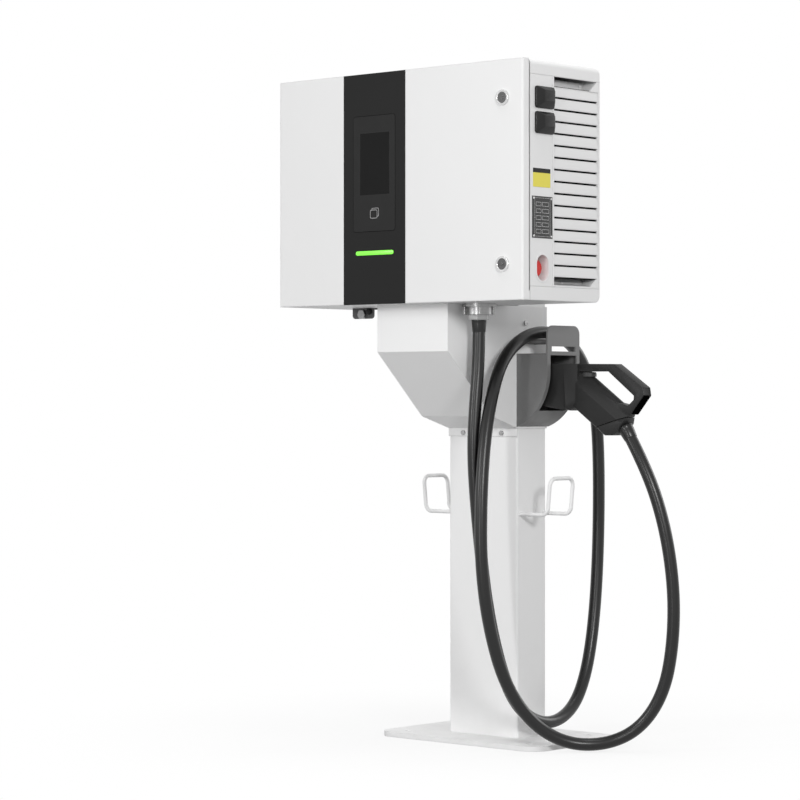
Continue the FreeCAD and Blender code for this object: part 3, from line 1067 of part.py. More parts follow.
def main():
    for row, (alias, number) in enumerate(SIZES.items(), 1):
        SHEET.set(f"A{row}", alias)
        SHEET.set(f"B{row}", str(number))
        SHEET.setAlias(f"B{row}", alias)
    DOC.recompute()
    for build in (base, post, mounting_brackets, shroud, cable_hooks, holster, enclosure, antenna_covers,
                  data_plate, emergency_stop, door, front_strip, hinges, locks, chassis, power_units,
                  switchgear,
                  fans, gland, earth_point, connector, charging_cable):
        build()
    DOC.recompute()
    for thing in DOC.Objects:
        bad = [state for state in thing.State if state in ("Invalid", "Error")]
        assert not bad, (thing.Name, thing.State)
    for thing in NODES:
        assert not thing.Shape.isNull() and thing.Shape.isValid() and thing.Shape.Solids, thing.Label
    os.makedirs("parts", exist_ok=True)
    for thing in NODES:
        thing.Shape.exportStep(f"parts/{thing.Label}.step")
    print(len(NODES), "nodes")


main()
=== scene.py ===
"""EV charging post: the visual model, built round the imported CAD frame."""
import math

import bmesh
import bpy
from mathutils import Matrix, Vector


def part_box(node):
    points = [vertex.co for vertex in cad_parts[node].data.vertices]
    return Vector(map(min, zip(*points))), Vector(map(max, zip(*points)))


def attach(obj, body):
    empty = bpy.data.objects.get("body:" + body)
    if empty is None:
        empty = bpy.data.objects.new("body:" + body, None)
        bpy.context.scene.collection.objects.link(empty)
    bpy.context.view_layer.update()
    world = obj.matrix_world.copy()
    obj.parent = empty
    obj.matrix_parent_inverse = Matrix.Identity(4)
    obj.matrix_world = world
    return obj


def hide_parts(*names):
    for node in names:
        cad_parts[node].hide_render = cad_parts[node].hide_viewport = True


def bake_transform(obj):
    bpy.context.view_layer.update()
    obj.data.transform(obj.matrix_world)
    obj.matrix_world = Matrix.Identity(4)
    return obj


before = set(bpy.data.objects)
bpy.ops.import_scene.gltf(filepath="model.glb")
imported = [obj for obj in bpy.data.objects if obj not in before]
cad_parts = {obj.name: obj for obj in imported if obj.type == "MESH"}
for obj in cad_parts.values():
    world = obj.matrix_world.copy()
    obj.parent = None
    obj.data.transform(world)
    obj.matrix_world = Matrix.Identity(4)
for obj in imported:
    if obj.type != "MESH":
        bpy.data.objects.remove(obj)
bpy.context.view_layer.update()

# ---------------------------------------------------------------- charging cable
CABLE_WIDTH = 0.025
ROUTE = [
    (0.130, -0.212, 0.853), (0.130, -0.212, 0.778), (0.130, -0.223, 0.690), (0.130, -0.231, 0.590),
    (0.131, -0.217, 0.450), (0.133, -0.190, 0.275), (0.136, -0.140, 0.130), (0.139, -0.084, 0.063),
    (0.139, -0.002, 0.037), (0.134, 0.077, 0.059), (0.127, 0.131, 0.122), (0.121, 0.167, 0.230),
    (0.119, 0.184, 0.375), (0.120, 0.186, 0.550), (0.124, 0.172, 0.668), (0.128, 0.138, 0.748),
    (0.131, 0.090, 0.804), (0.132, 0.024, 0.832), (0.133, -0.044, 0.832), (0.137, -0.104, 0.811),
    (0.144, -0.159, 0.772), (0.152, -0.199, 0.706), (0.160, -0.231, 0.615), (0.167, -0.250, 0.495),
    (0.169, -0.252, 0.370), (0.173, -0.233, 0.250), (0.182, -0.197, 0.140), (0.204, -0.144, 0.060),
    (0.245, -0.084, 0.015), (0.304, -0.028, 0.013), (0.363, 0.007, 0.047), (0.407, 0.025, 0.120),
    (0.427, 0.028, 0.222), (0.430, 0.025, 0.335), (0.414, 0.014, 0.458), (0.380, 0.000, 0.564),
    (0.332, 0.000, 0.637),
]


# ---------------------------------------------------------------- node helpers
def plug(tree, socket, value):
    """Links an input to another node's socket, or sets its value."""
    if isinstance(value, bpy.types.NodeSocket):
        tree.links.new(value, socket)
    else:
        socket.default_value = value


def add(tree, kind, inputs=None, **settings):
    """A node with its settings, and its inputs set or linked."""
    node = tree.nodes.new("ShaderNode" + kind)
    for key, value in settings.items():
        setattr(node, key, value)
    for key, value in (inputs or {}).items():
        plug(tree, node.inputs[key], value)
    return node


def effect(name, takes, gives):
    """An empty shader node group with named sockets."""
    group = bpy.data.node_groups.new(name, "ShaderNodeTree")
    for label, value in takes.items():
        kind = "NodeSocketVector" if isinstance(value, tuple) else "NodeSocketFloat"
        group.interface.new_socket(label, in_out="INPUT", socket_type=kind).default_value = value
    for label in gives:
        group.interface.new_socket(label, in_out="OUTPUT", socket_type="NodeSocketFloat")
    return group, group.nodes.new("NodeGroupInput"), group.nodes.new("NodeGroupOutput")


def fill(tree, group, values):
    """A group placed in a material with its own values."""
    node = tree.nodes.new("ShaderNodeGroup")
    node.node_tree = group
    for key, value in values.items():
        plug(tree, node.inputs[key], value)
    return node


def calc(tree, operation, one, two):
    """The result of one operation on two values."""
    return add(tree, "Math", {0: one, 1: two}, operation=operation).outputs[0]


def per(tree, given, label):
    """The noise scale that gives a named size in metres."""
    return calc(tree, "DIVIDE", 1.0, given.outputs[label])


def ramp(tree, value, low, high, start=0.0, end=1.0, **settings):
    """Start where a value is at low, end where it is at high, and even steps between them."""
    values = {"Value": value, 1: low, 2: high, 3: start, 4: end}
    return add(tree, "MapRange", values, **settings).outputs[0]


def here(tree):
    """The place on the object, in its own coordinates."""
    return add(tree, "TexCoord").outputs["Object"]


def noise(tree, place, scale, detail, roughness, **more):
    """Soft noise at a scale."""
    values = {"Vector": place, "Scale": scale, "Detail": detail, "Roughness": roughness, **more}
    return add(tree, "TexNoise", values).outputs[0]


def seen_directly(tree):
    """1 for rays from the camera, from glossy faces and through clear ones, and 0 for the rest."""
    path = add(tree, "LightPath").outputs
    seen = calc(tree, "MAXIMUM", path["Is Camera Ray"], path["Is Glossy Ray"])
    return calc(tree, "MAXIMUM", seen, path["Is Transmission Ray"])


# ---------------------------------------------------------------- shared effects
def coat_grain():
    """Orange peel of a powder coat, and the slow cloudiness of a large painted sheet."""
    takes = {"Grain size": 0.0012, "Cloud size": 0.25}
    group, given, out = effect("coat_grain", takes, ["Height", "Cloud"])
    place = here(group)
    group.links.new(noise(group, place, per(group, given, "Grain size"), 2.0, 0.6), out.inputs["Height"])
    group.links.new(noise(group, place, per(group, given, "Cloud size"), 3.0, 0.55), out.inputs["Cloud"])
    return group


def edge_wear_and_highlight():
    """Lighter edges where two faces meet, partly wear and partly a painted highlight where a rounded edge
    catches light, broken up so that it isn't even, and a softly rounded normal.
    """
    takes = {"Width": 0.0012, "Breakup size": 0.006, "Amount": 0.5}
    group, given, out = effect("edge_wear_and_highlight", takes, ["Mask"])
    group.interface.new_socket("Rounded", in_out="OUTPUT", socket_type="NodeSocketVector")
    true = add(group, "NewGeometry").outputs["Normal"]
    soft = add(group, "Bevel", {"Radius": given.outputs["Width"]}, samples=4).outputs["Normal"]
    alike = add(group, "VectorMath", {0: true, 1: soft}, operation="DOT_PRODUCT").outputs["Value"]
    bent = ramp(group, alike, 0.995, 0.86)
    patch = noise(group, here(group), per(group, given, "Breakup size"), 4.0, 0.7)
    # The mask that lightens edges: partly wear, partly a painted highlight along edges that would catch the
    # light.
    worn_and_lit = calc(group, "MULTIPLY", bent, ramp(group, patch, 0.4, 0.62, 0.15, 1.0))
    group.links.new(calc(group, "MULTIPLY", worn_and_lit, given.outputs["Amount"]), out.inputs["Mask"])
    group.links.new(soft, out.inputs["Rounded"])
    return group


def settled_dust():
    """Dust that lies on what faces up, more of it near the ground."""
    group, given, out = effect("settled_dust", {"Amount": 0.25, "Fades by": 0.35}, ["Mask"])
    place = here(group)
    height = add(group, "SeparateXYZ", {0: place}).outputs["Z"]
    up = add(group, "SeparateXYZ", {0: add(group, "NewGeometry").outputs["Normal"]}).outputs["Z"]
    flat = ramp(group, up, 0.2, 1.0)
    low = ramp(group, height, 0.0, given.outputs["Fades by"], 0.6, 0.0)
    broken = ramp(group, noise(group, place, 14.0, 6.0, 0.68), 0.38, 0.68)
    lies = calc(group, "MULTIPLY", calc(group, "MAXIMUM", flat, low), broken)
    group.links.new(calc(group, "MULTIPLY", lies, given.outputs["Amount"]), out.inputs["Mask"])
    return group


def brushed_lines():
    """Fine lines left by brushing or drawing metal, along one axis."""
    takes = {"Stretch": (1.0, 40.0, 40.0), "Scale": 30.0}
    group, given, out = effect("brushed_lines", takes, ["Height", "Streak"])
    drawn = add(group, "VectorMath", {0: here(group), 1: given.outputs["Stretch"]}, operation="MULTIPLY")
    line = noise(group, drawn.outputs[0], given.outputs["Scale"], 5.0, 0.75)
    group.links.new(line, out.inputs["Height"])
    group.links.new(ramp(group, line, 0.3, 0.7), out.inputs["Streak"])
    return group


def moulded_texture():
    """Spark-eroded texture of a moulded plastic or rubber part, with handling marks."""
    takes = {"Pit size": 0.0008, "Mark size": 0.03}
    group, given, out = effect("moulded_texture", takes, ["Height", "Marks"])
    place = here(group)
    pits = add(group, "TexVoronoi", {"Vector": place, "Scale": per(group, given, "Pit size")},
               feature="SMOOTH_F1")
    marks = noise(group, place, per(group, given, "Mark size"), 5.0, 0.65, Distortion=0.4)
    group.links.new(pits.outputs["Distance"], out.inputs["Height"])
    group.links.new(marks, out.inputs["Marks"])
    return group


GRAIN = coat_grain()
WEAR_AND_HIGHLIGHT = edge_wear_and_highlight()
DUST = settled_dust()
BRUSHED = brushed_lines()
MOULDED = moulded_texture()


def shader(name, **sockets):
    """A material with one Principled BSDF, its even values set on its own sockets."""
    material = bpy.data.materials.new(name)
    material.use_nodes = True
    tree = material.node_tree
    body = tree.nodes["Principled BSDF"]
    for key, value in sockets.items():
        body.inputs[key.replace("_", " ")].default_value = value
    return material, tree, body


def tone(level, tint=(1.0, 1.0, 1.0)):
    """A colour from a 0 to 255 screen level and a tint."""
    value = level / 255
    value = value / 12.92 if value <= 0.04045 else ((value + 0.055) / 1.055) ** 2.4
    return (value * tint[0], value * tint[1], value * tint[2], 1.0)


def blended(tree, mask, low, high):
    """A colour that goes from low to high as the mask does."""
    node = add(tree, "Mix", {"Factor": mask}, data_type="RGBA")
    for socket, value in zip([s for s in node.inputs if s.type == "RGBA"], (low, high)):
        plug(tree, socket, value)
    return next(s for s in node.outputs if s.type == "RGBA")


def coloured(tree, body, colour, gloss, rough):
    """The shader's colour, and its roughness as the gloss mask goes from its low to its high values."""
    tree.links.new(colour, body.inputs["Base Color"])
    tree.links.new(ramp(tree, gloss, 0.3, 0.7, *rough), body.inputs["Roughness"])


def raised(tree, body, height, strength, depth, edge):
    """The shader's bump, on top of the edge group's rounded normal."""
    bump = add(tree, "Bump", {"Strength": strength, "Distance": depth, "Height": height,
                              "Normal": edge.outputs["Rounded"]})
    tree.links.new(bump.outputs[0], body.inputs["Normal"])


def powder_coat(name, light, dark, rough=(0.32, 0.42), worn_and_lit=None, dust=0.0, shine=0.3, corner=0.0016):
    """Powder-coated steel: peel in the surface, cloudy gloss, lighter edges that are partly wear and partly
    painted highlight, and settled dust.
    """
    material, tree, body = shader(name, Specular_IOR_Level=shine)
    grain = fill(tree, GRAIN, {})
    edge = fill(tree, WEAR_AND_HIGHLIGHT, {"Amount": 0.35, "Width": corner})
    colour = blended(tree, grain.outputs["Cloud"], dark, light)
    # Edges blended towards a lighter colour: partly wear, partly painted highlight.
    colour = blended(tree, edge.outputs["Mask"], colour, worn_and_lit or light)
    if dust:
        lies = fill(tree, DUST, {"Amount": dust})
        colour = blended(tree, lies.outputs["Mask"], colour, tone(150, (1.0, 0.96, 0.9)))
    coloured(tree, body, colour, grain.outputs["Cloud"], rough)
    raised(tree, body, grain.outputs["Height"], 0.35, 0.00006, edge)
    return material


def moulded(name, light, dark, rough=(0.4, 0.55), wear_and_glint=0.3, shine=0.35):
    """Moulded plastic or rubber, with lighter edges that are partly wear and partly painted highlight."""
    material, tree, body = shader(name, Specular_IOR_Level=shine)
    skin = fill(tree, MOULDED, {})
    edge = fill(tree, WEAR_AND_HIGHLIGHT, {"Amount": wear_and_glint, "Width": 0.0010})
    colour = blended(tree, skin.outputs["Marks"], dark, light)
    # Edges blended towards the light tone: partly wear, partly painted highlight.
    colour = blended(tree, edge.outputs["Mask"], colour, light)
    coloured(tree, body, colour, skin.outputs["Marks"], rough)
    raised(tree, body, skin.outputs["Height"], 0.4, 0.00008, edge)
    return material


def rubber(name, light, dark, rough, shine):
    """A smooth cable sheath with faint scuffs along it."""
    material, tree, body = shader(name, Specular_IOR_Level=shine)
    skin = fill(tree, MOULDED, {"Pit size": 0.0009, "Mark size": 0.05})
    coloured(tree, body, blended(tree, skin.outputs["Marks"], dark, light), skin.outputs["Marks"], rough)
    return material


def metal(name, light, dark, rough=(0.2, 0.38), stretch=(1.0, 40.0, 40.0), scale=30.0, wear_and_glint=0.4):
    """Drawn or brushed metal, with near-white edges that are partly wear and partly painted highlight."""
    material, tree, body = shader(name, Metallic=1.0)
    lines = fill(tree, BRUSHED, {"Stretch": stretch, "Scale": scale})
    edge = fill(tree, WEAR_AND_HIGHLIGHT, {"Amount": wear_and_glint})
    colour = blended(tree, lines.outputs["Streak"], dark, light)
    # Edges blended towards near white: partly wear, partly painted highlight.
    colour = blended(tree, edge.outputs["Mask"], colour, tone(240))
    coloured(tree, body, colour, lines.outputs["Streak"], rough)
    raised(tree, body, lines.outputs["Height"], 0.3, 0.00002, edge)
    return material


EVEN = (1.0, 1.0, 1.0)  # a stretch that gives a metal no direction
door_white = powder_coat("door_white", tone(234), tone(231), corner=0.0035)
case_white = powder_coat("case_white", tone(231), tone(227), corner=0.0030)
post_white = powder_coat("post_white", tone(246), tone(243), dust=0.1)
# Its lighter grey edges are partly wear and partly painted highlight.
fascia_black = powder_coat("fascia_black", tone(22), tone(18), rough=(0.45, 0.55), worn_and_lit=tone(44),
                           shine=0.15)
galvanised = metal("galvanised", tone(190), tone(150), rough=(0.35, 0.55), stretch=EVEN, scale=60.0)
stainless = metal("stainless", tone(215), tone(190), rough=(0.22, 0.34))
chrome = metal("chrome", tone(225), tone(205), rough=(0.08, 0.16), stretch=EVEN, scale=40.0)
dark_metal = metal("dark_metal", tone(90), tone(70), rough=(0.3, 0.45))
holster_grey = moulded("holster_grey", tone(121), tone(114))
cover_grey = moulded("cover_grey", tone(42), tone(36), rough=(0.3, 0.4), shine=0.25)
stop_cup = moulded("stop_cup", tone(232), tone(226))
stop_red = moulded("stop_red", (0.72, 0.05, 0.04, 1.0), (0.6, 0.03, 0.03, 1.0), rough=(0.25, 0.35))
device_grey = moulded("device_grey", tone(170), tone(160))
display_black = moulded("display_black", tone(33), tone(29), rough=(0.3, 0.38), shine=0.15, wear_and_glint=0.1)
glass = moulded("glass", tone(20), tone(16), rough=(0.12, 0.18), shine=0.12, wear_and_glint=0.05)
seal = moulded("seal", tone(190), tone(180), rough=(0.6, 0.75), shine=0.15)
aluminium = metal("aluminium", tone(210), tone(190), rough=(0.3, 0.42))
copper = metal("copper", (0.62, 0.27, 0.14, 1.0), (0.5, 0.2, 0.1, 1.0))
board_green = moulded("board_green", (0.02, 0.12, 0.05, 1.0), (0.015, 0.09, 0.04, 1.0))
fan_black = moulded("fan_black", tone(34), tone(28), shine=0.2)
cable_black = rubber("cable_black", tone(14), tone(10), (0.28, 0.33), 0.42)
gun_black = moulded("gun_black", tone(42), tone(36), rough=(0.4, 0.5), shine=0.2)
contact_grey = moulded("contact_grey", tone(66), tone(58), shine=0.25)


def light_bar():
    """Translucent green plastic, lit from behind."""
    material, tree, body = shader("light_bar", Roughness=0.3, Emission_Strength=0.5)
    skin = fill(tree, MOULDED, {"Pit size": 0.002, "Mark size": 0.02})
    colour = blended(tree, skin.outputs["Marks"], (0.16, 0.72, 0.05, 1.0), (0.24, 0.85, 0.08, 1.0))
    tree.links.new(colour, body.inputs["Base Color"])
    tree.links.new(colour, body.inputs["Emission Color"])
    return material


light = light_bar()
# Near-black matte: the display rim and the grip channel, and the painted shade sheet behind the louvre
# slots.
matte_black_and_shade = moulded("matte_black_and_shade", tone(10), tone(5), rough=(0.9, 1.0), shine=0.0)
cover_black = moulded("cover_black", tone(40), tone(34), rough=(0.2, 0.27), wear_and_glint=0.1, shine=0.2)
tag_yellow = moulded("tag_yellow", tone(255, (0.78, 0.70, 0.09)), tone(250, (0.76, 0.67, 0.08)))
tag_black = moulded("tag_black", tone(30), tone(24), shine=0.15)
plate_lines = metal("plate_lines", tone(190), tone(150))
sign_grey = moulded("sign_grey", tone(200), tone(190))
lock_grey = moulded("lock_grey", tone(132), tone(122), rough=(0.3, 0.4))
nickel = metal("nickel", tone(172), tone(132), rough=(0.28, 0.38), stretch=(1.0, 1.0, 60.0), wear_and_glint=0.1)
plate_dark = moulded("plate_dark", tone(60), tone(52), rough=(0.35, 0.5), shine=0.2)
lug_grey = moulded("lug_grey", tone(105), tone(95), rough=(0.4, 0.5))

# The charging cable's node isn't listed, because its own piece is made below.
FINISH = {
    door_white: ["door_panel"],
    case_white: ["back_panel", "roof_cover", "bottom_tray", "left_side_panel", "right_side_panel",
                 "left_louvre_panel", "right_louvre_panel"],
    post_white: ["base_plate", "post_tube", "cable_shroud", "cable_hook_left", "cable_hook_right"],
    fascia_black: ["post_cap", "fascia_panel"],
    galvanised: ["mounting_brackets", "bracket_bolts", "chassis_plate", "standoffs", "din_rail"],
    stainless: ["plate_rivets", "hinge_fixed_leaves", "hinge_door_leaves", "hinge_pins"],
    plate_dark: ["data_plate"],
    lug_grey: ["earth_lug"],
    nickel: ["gland_body", "gland_nut", "gland_screws", "earth_bolt", "panel_screws"],
    chrome: ["lock_housings"],
    dark_metal: ["upper_lock_plug", "lower_lock_plug"],
    holster_grey: ["holster_body", "cable_saddle"],
    cover_grey: ["antenna_covers"],
    stop_cup: ["estop_cup", "estop_stem"],
    stop_red: ["estop_head"],
    device_grey: ["estop_contact_block", "breaker_body", "contactors"],
    display_black: ["display_module", "card_reader"],
    glass: ["display_screen"],
    light: ["light_guide"],
    seal: ["door_gasket"],
    aluminium: ["power_units"],
    copper: ["busbars"],
    board_green: ["control_board"],
    fan_black: ["breaker_lever", "fan_frames", "lower_fan_rotor", "upper_fan_rotor"],
    gun_black: ["connector_shell", "connector_end_cap"],
    contact_grey: ["connector_nose", "trigger_button"],
}
for finish, names in FINISH.items():
    for name in names:
        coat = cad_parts[name].data.materials
        coat.clear()
        coat.append(finish)


# ---------------------------------------------------------------- charging cable piece
def cable_curve(thick):
    """The cable's route as a mesh: a round tube, or the bare line where thick is 0."""
    curve = bpy.data.curves.new("cable_route", "CURVE")
    curve.dimensions = "3D"
    spline = curve.splines.new("NURBS")
    spline.points.add(len(ROUTE) - 1)
    for point, place in zip(spline.points, ROUTE):
        point.co = (*place, 1.0)
    spline.order_u = 3
    spline.use_endpoint_u = True
    spline.use_smooth = True
    curve.resolution_u = 10
    curve.bevel_depth = thick / 2
    curve.bevel_resolution = 10
    curve.use_fill_caps = bool(thick)
    holder = bpy.data.objects.new("cable_route", curve)
    bpy.context.collection.objects.link(holder)
    bpy.context.view_layer.update()
    mesh = bpy.data.meshes.new_from_object(holder)
    bpy.data.objects.remove(holder)
    return mesh


line = [v.co.copy() for v in cable_curve(0).vertices]
lead = bpy.data.objects.new("charging_lead", cable_curve(CABLE_WIDTH))
bpy.context.collection.objects.link(lead)
lead.data.materials.clear()
lead.data.materials.append(cable_black)
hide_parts("charging_cable")
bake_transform(lead)


# ---------------------------------------------------------------- shaping, in millimetres
def turned(axis, across, up, along):
    """A point given across, up and along an axis, as x, y and z."""
    return {"x": (along, across, up), "y": (across, along, up), "z": (across, up, along)}[axis]


def moved_verts(geometry):
    """The vertices among what an extrusion gives back."""
    return [g for g in geometry if isinstance(g, bmesh.types.BMVert)]


def pushed(shape, faces, way):
    """Flat faces are pushed along a vector into a closed solid."""
    out = bmesh.ops.extrude_face_region(shape, geom=faces)["geom"]
    bmesh.ops.translate(shape, vec=way, verts=moved_verts(out))
    bmesh.ops.recalc_face_normals(shape, faces=shape.faces)
    return shape


def slab(outline, axis, low, high):
    """An outline pushed through from low to high along one axis."""
    shape = bmesh.new()
    face = shape.faces.new([shape.verts.new(turned(axis, across, up, low)) for across, up in outline])
    return pushed(shape, [face], Vector(turned(axis, 0, 0, high - low)))


def frame_slab(outer, inner, axis, low, high):
    """A ring between two outlines of as many corners, pushed through along one axis."""
    shape = bmesh.new()
    edges = []
    for outline in (outer, inner):
        ring = [shape.verts.new(turned(axis, across, up, low)) for across, up in outline]
        edges += [shape.edges.new((ring[i - 1], ring[i])) for i in range(len(ring))]
    flat = bmesh.ops.bridge_loops(shape, edges=edges)["faces"]
    return pushed(shape, flat, Vector(turned(axis, 0, 0, high - low)))


def lathe(points, axis, centre, steps=48):
    """An outline of (radius, along) points turned full round an axis through a centre."""
    shape = bmesh.new()
    out, along = {"x": ((0, 1, 0), (1, 0, 0)), "y": ((1, 0, 0), (0, 1, 0)),
                  "z": ((1, 0, 0), (0, 0, 1))}[axis]
    ring = [shape.verts.new(Vector(centre) + Vector(out) * r + Vector(along) * h) for r, h in points]
    edges = [shape.edges.new(pair) for pair in zip(ring, ring[1:])]
    bmesh.ops.spin(shape, geom=ring + edges, cent=centre, axis=along, angle=math.tau, steps=steps,
                   use_merge=True)
    bmesh.ops.remove_doubles(shape, verts=shape.verts, dist=1e-4)
    bmesh.ops.recalc_face_normals(shape, faces=shape.faces)
    return shape


def soften(shape, size, steps=3, angle=25, where=lambda edge: True):
    """Rounds the edges that are sharper than an angle."""
    edges = [e for e in shape.edges
             if e.is_manifold and e.calc_face_angle(0) > math.radians(angle) and where(e)]
    bmesh.ops.bevel(shape, geom=edges, offset=size, segments=steps, profile=0.5, affect="EDGES",
                    material=-1, clamp_overlap=True)
    return shape


def mirrored(shape):
    """The same shape on the other side of the middle plane."""
    bmesh.ops.scale(shape, vec=(-1, 1, 1), verts=shape.verts)
    bmesh.ops.reverse_faces(shape, faces=shape.faces)
    return shape


def split(shape, point, outward, clear_outer=False):
    """New edges where a plane meets the shape; what lies beyond the plane may be taken off."""
    return bmesh.ops.bisect_plane(shape, geom=shape.verts[:] + shape.edges[:] + shape.faces[:], dist=1e-4,
                                  plane_co=point, plane_no=outward, clear_outer=clear_outer)


def trimmed(shape, point, outward):
    """What lies beyond a plane is taken off, and the cut is closed."""
    cut = split(shape, point, outward, clear_outer=True)
    rim = [g for g in cut["geom_cut"] if isinstance(g, bmesh.types.BMEdge)]
    if rim:
        bmesh.ops.edgeloop_fill(shape, edges=rim)
    return shape


def joined(*parts):
    """Several finished shapes in one."""
    whole = bmesh.new()
    for part in parts:
        passing = bpy.data.meshes.new("passing")
        part.to_mesh(passing)
        part.free()
        whole.from_mesh(passing)
        bpy.data.meshes.remove(passing)
    return whole


def piece(name, shape, finish, body, stands_for=(), sharp=30):
    """Brings a shape to metres and makes it an object that rides on a body."""
    bmesh.ops.scale(shape, vec=(0.001, 0.001, 0.001), verts=shape.verts)
    mesh = bpy.data.meshes.new(name)
    shape.to_mesh(mesh)
    shape.free()
    mesh.shade_smooth()
    mesh.set_sharp_from_angle(angle=math.radians(sharp))
    mesh.materials.append(finish)
    thing = bpy.data.objects.new(name, mesh)
    bpy.context.collection.objects.link(thing)
    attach(thing, body)
    if stands_for:
        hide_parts(*stands_for)
    return thing


def extent(node):
    """A CAD node's lowest and highest corner in millimetres."""
    low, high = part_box(node)
    return low * 1000, high * 1000


def rectangle(left, low, right, high, corner=0.0, steps=4):
    """Corners of an upright rectangle, rounded by a radius."""
    if not corner:
        return [(left, low), (right, low), (right, high), (left, high)]
    points = []
    for number, (x, z) in enumerate(((right - corner, low + corner), (right - corner, high - corner),
                                     (left + corner, high - corner), (left + corner, low + corner))):
        for step in range(steps + 1):
            turn = math.radians(-90 + 90 * number + 90 * step / steps)
            points.append((x + corner * math.cos(turn), z + corner * math.sin(turn)))
    return points


# ---------------------------------------------------------------- connector
def connector():
    """The connector's housing with its hand opening, its end cap and the round release button."""
    head_half, handle_half, channel_half = 34, 13, 9.5
    taper_start, taper_run, taper = 200, 24, 0.45
    along, across = Vector((0.815, 0, -0.580)).normalized(), Vector((0.580, 0, 0.815)).normalized()
    root = Vector((215, 0, 680))
    seam, seam_out = Vector((270, 0, 641)), Vector((0.273, 0, -0.962))

    def barrel(start, end):
        """The grip's long body: flat sides, sloped shoulders and a rounded ridge, along its slope."""
        half = [(21, 3), (21, 44), (14.5, 57), (12, 64), (7, 70), (0, 72)]
        section = half + [(-y, n) for y, n in half[-2::-1]] + [(-18, 0), (18, 0)]
        shape = bmesh.new()
        ring = [shape.verts.new(root + along * start + across * n + Vector((0, y, 0))) for y, n in section]
        pushed(shape, [shape.faces.new(ring)], along * (end - start))
        return trimmed(shape, Vector((347.5, 0, 668)), Vector((0.845, 0, -0.535)))

    head = slab([(136, 683), (206, 674), (213, 679), (224, 700), (224, 768), (136, 768)], "y",
                -head_half, head_half)
    split(head, (taper_start, 0, 0), (1, 0, 0))
    for vert in head.verts:
        if vert.co.x > taper_start + 1:
            vert.co.y *= 1 - taper * (vert.co.x - taper_start) / taper_run

    def lower_side(edge):
        """True for the long edges along the head's underside."""
        one, two = (v.co for v in edge.verts)
        return max(one.z, two.z) < 684 and one.y * two.y > 0 and abs(one.x - two.x) > 5

    soften(head, 13, steps=5, where=lower_side)
    soften(head, 4, steps=3, angle=40, where=lambda e: min(v.co.x for v in e.verts) > 150)

    handle = frame_slab(
        [(190, 768), (311.6, 766.5), (382, 719.5), (384.7, 703.5), (353, 666.2), (300, 668), (215, 715)],
        [(223, 752), (296.4, 752), (359.9, 703.5), (359.5, 695.8), (345.5, 684), (318, 690), (226, 735)],
        "y", -handle_half, handle_half)
    ends = [f for f in handle.faces if f.normal.dot(Vector((0.762, 0, -0.648))) > 0.98
            or (f.normal.x > 0.95 and f.calc_center_median().x > 380)]
    bmesh.ops.inset_region(handle, faces=ends, thickness=3.2, depth=0)
    bmesh.ops.translate(handle, vec=Vector((-2.2, 0, 1.2)),
                        verts=list({v for f in ends for v in f.verts}))
    soften(handle, 1.8, steps=2)

    channel = slab([(384.9, 702.6), (354.6, 667.0), (353.4, 668.0), (383.6, 703.6)], "y",
                   -channel_half, channel_half)
    piece("grip_channel", channel, matte_black_and_shade, "connector")

    grip = barrel(-60, 160)
    trimmed(grip, Vector((0, 0, 751)), Vector((0, 0, 1)))
    trimmed(grip, Vector((202, 0, 0)), Vector((-1, 0, 0)))
    trimmed(grip, seam, seam_out)
    soften(grip, 1.6, steps=2)
    piece("connector_body", joined(head, handle, grip), gun_black, "connector",
          ["connector_shell"])

    cap = barrel(20, 170)
    trimmed(cap, seam + seam_out * 0.9, -seam_out)
    trimmed(cap, Vector((311.9, 0, 623.8)), Vector((0.549, 0, -0.836)))
    trimmed(cap, Vector((298.6, 0, 625)), Vector((0, 0, -1)))
    soften(cap, 1.8, steps=2)
    piece("connector_cap", cap, gun_black, "connector", ["connector_end_cap"])

    top = extent("trigger_button")[1].z
    button = lathe([(0, 0), (6, 0.1), (12.2, -0.4), (13.8, -1.6), (14.3, -3), (14.3, -9.4), (0, -9.4)], "z",
                   (240, 0, top))
    piece("release_button", button, contact_grey, "trigger", ["trigger_button"])


connector()


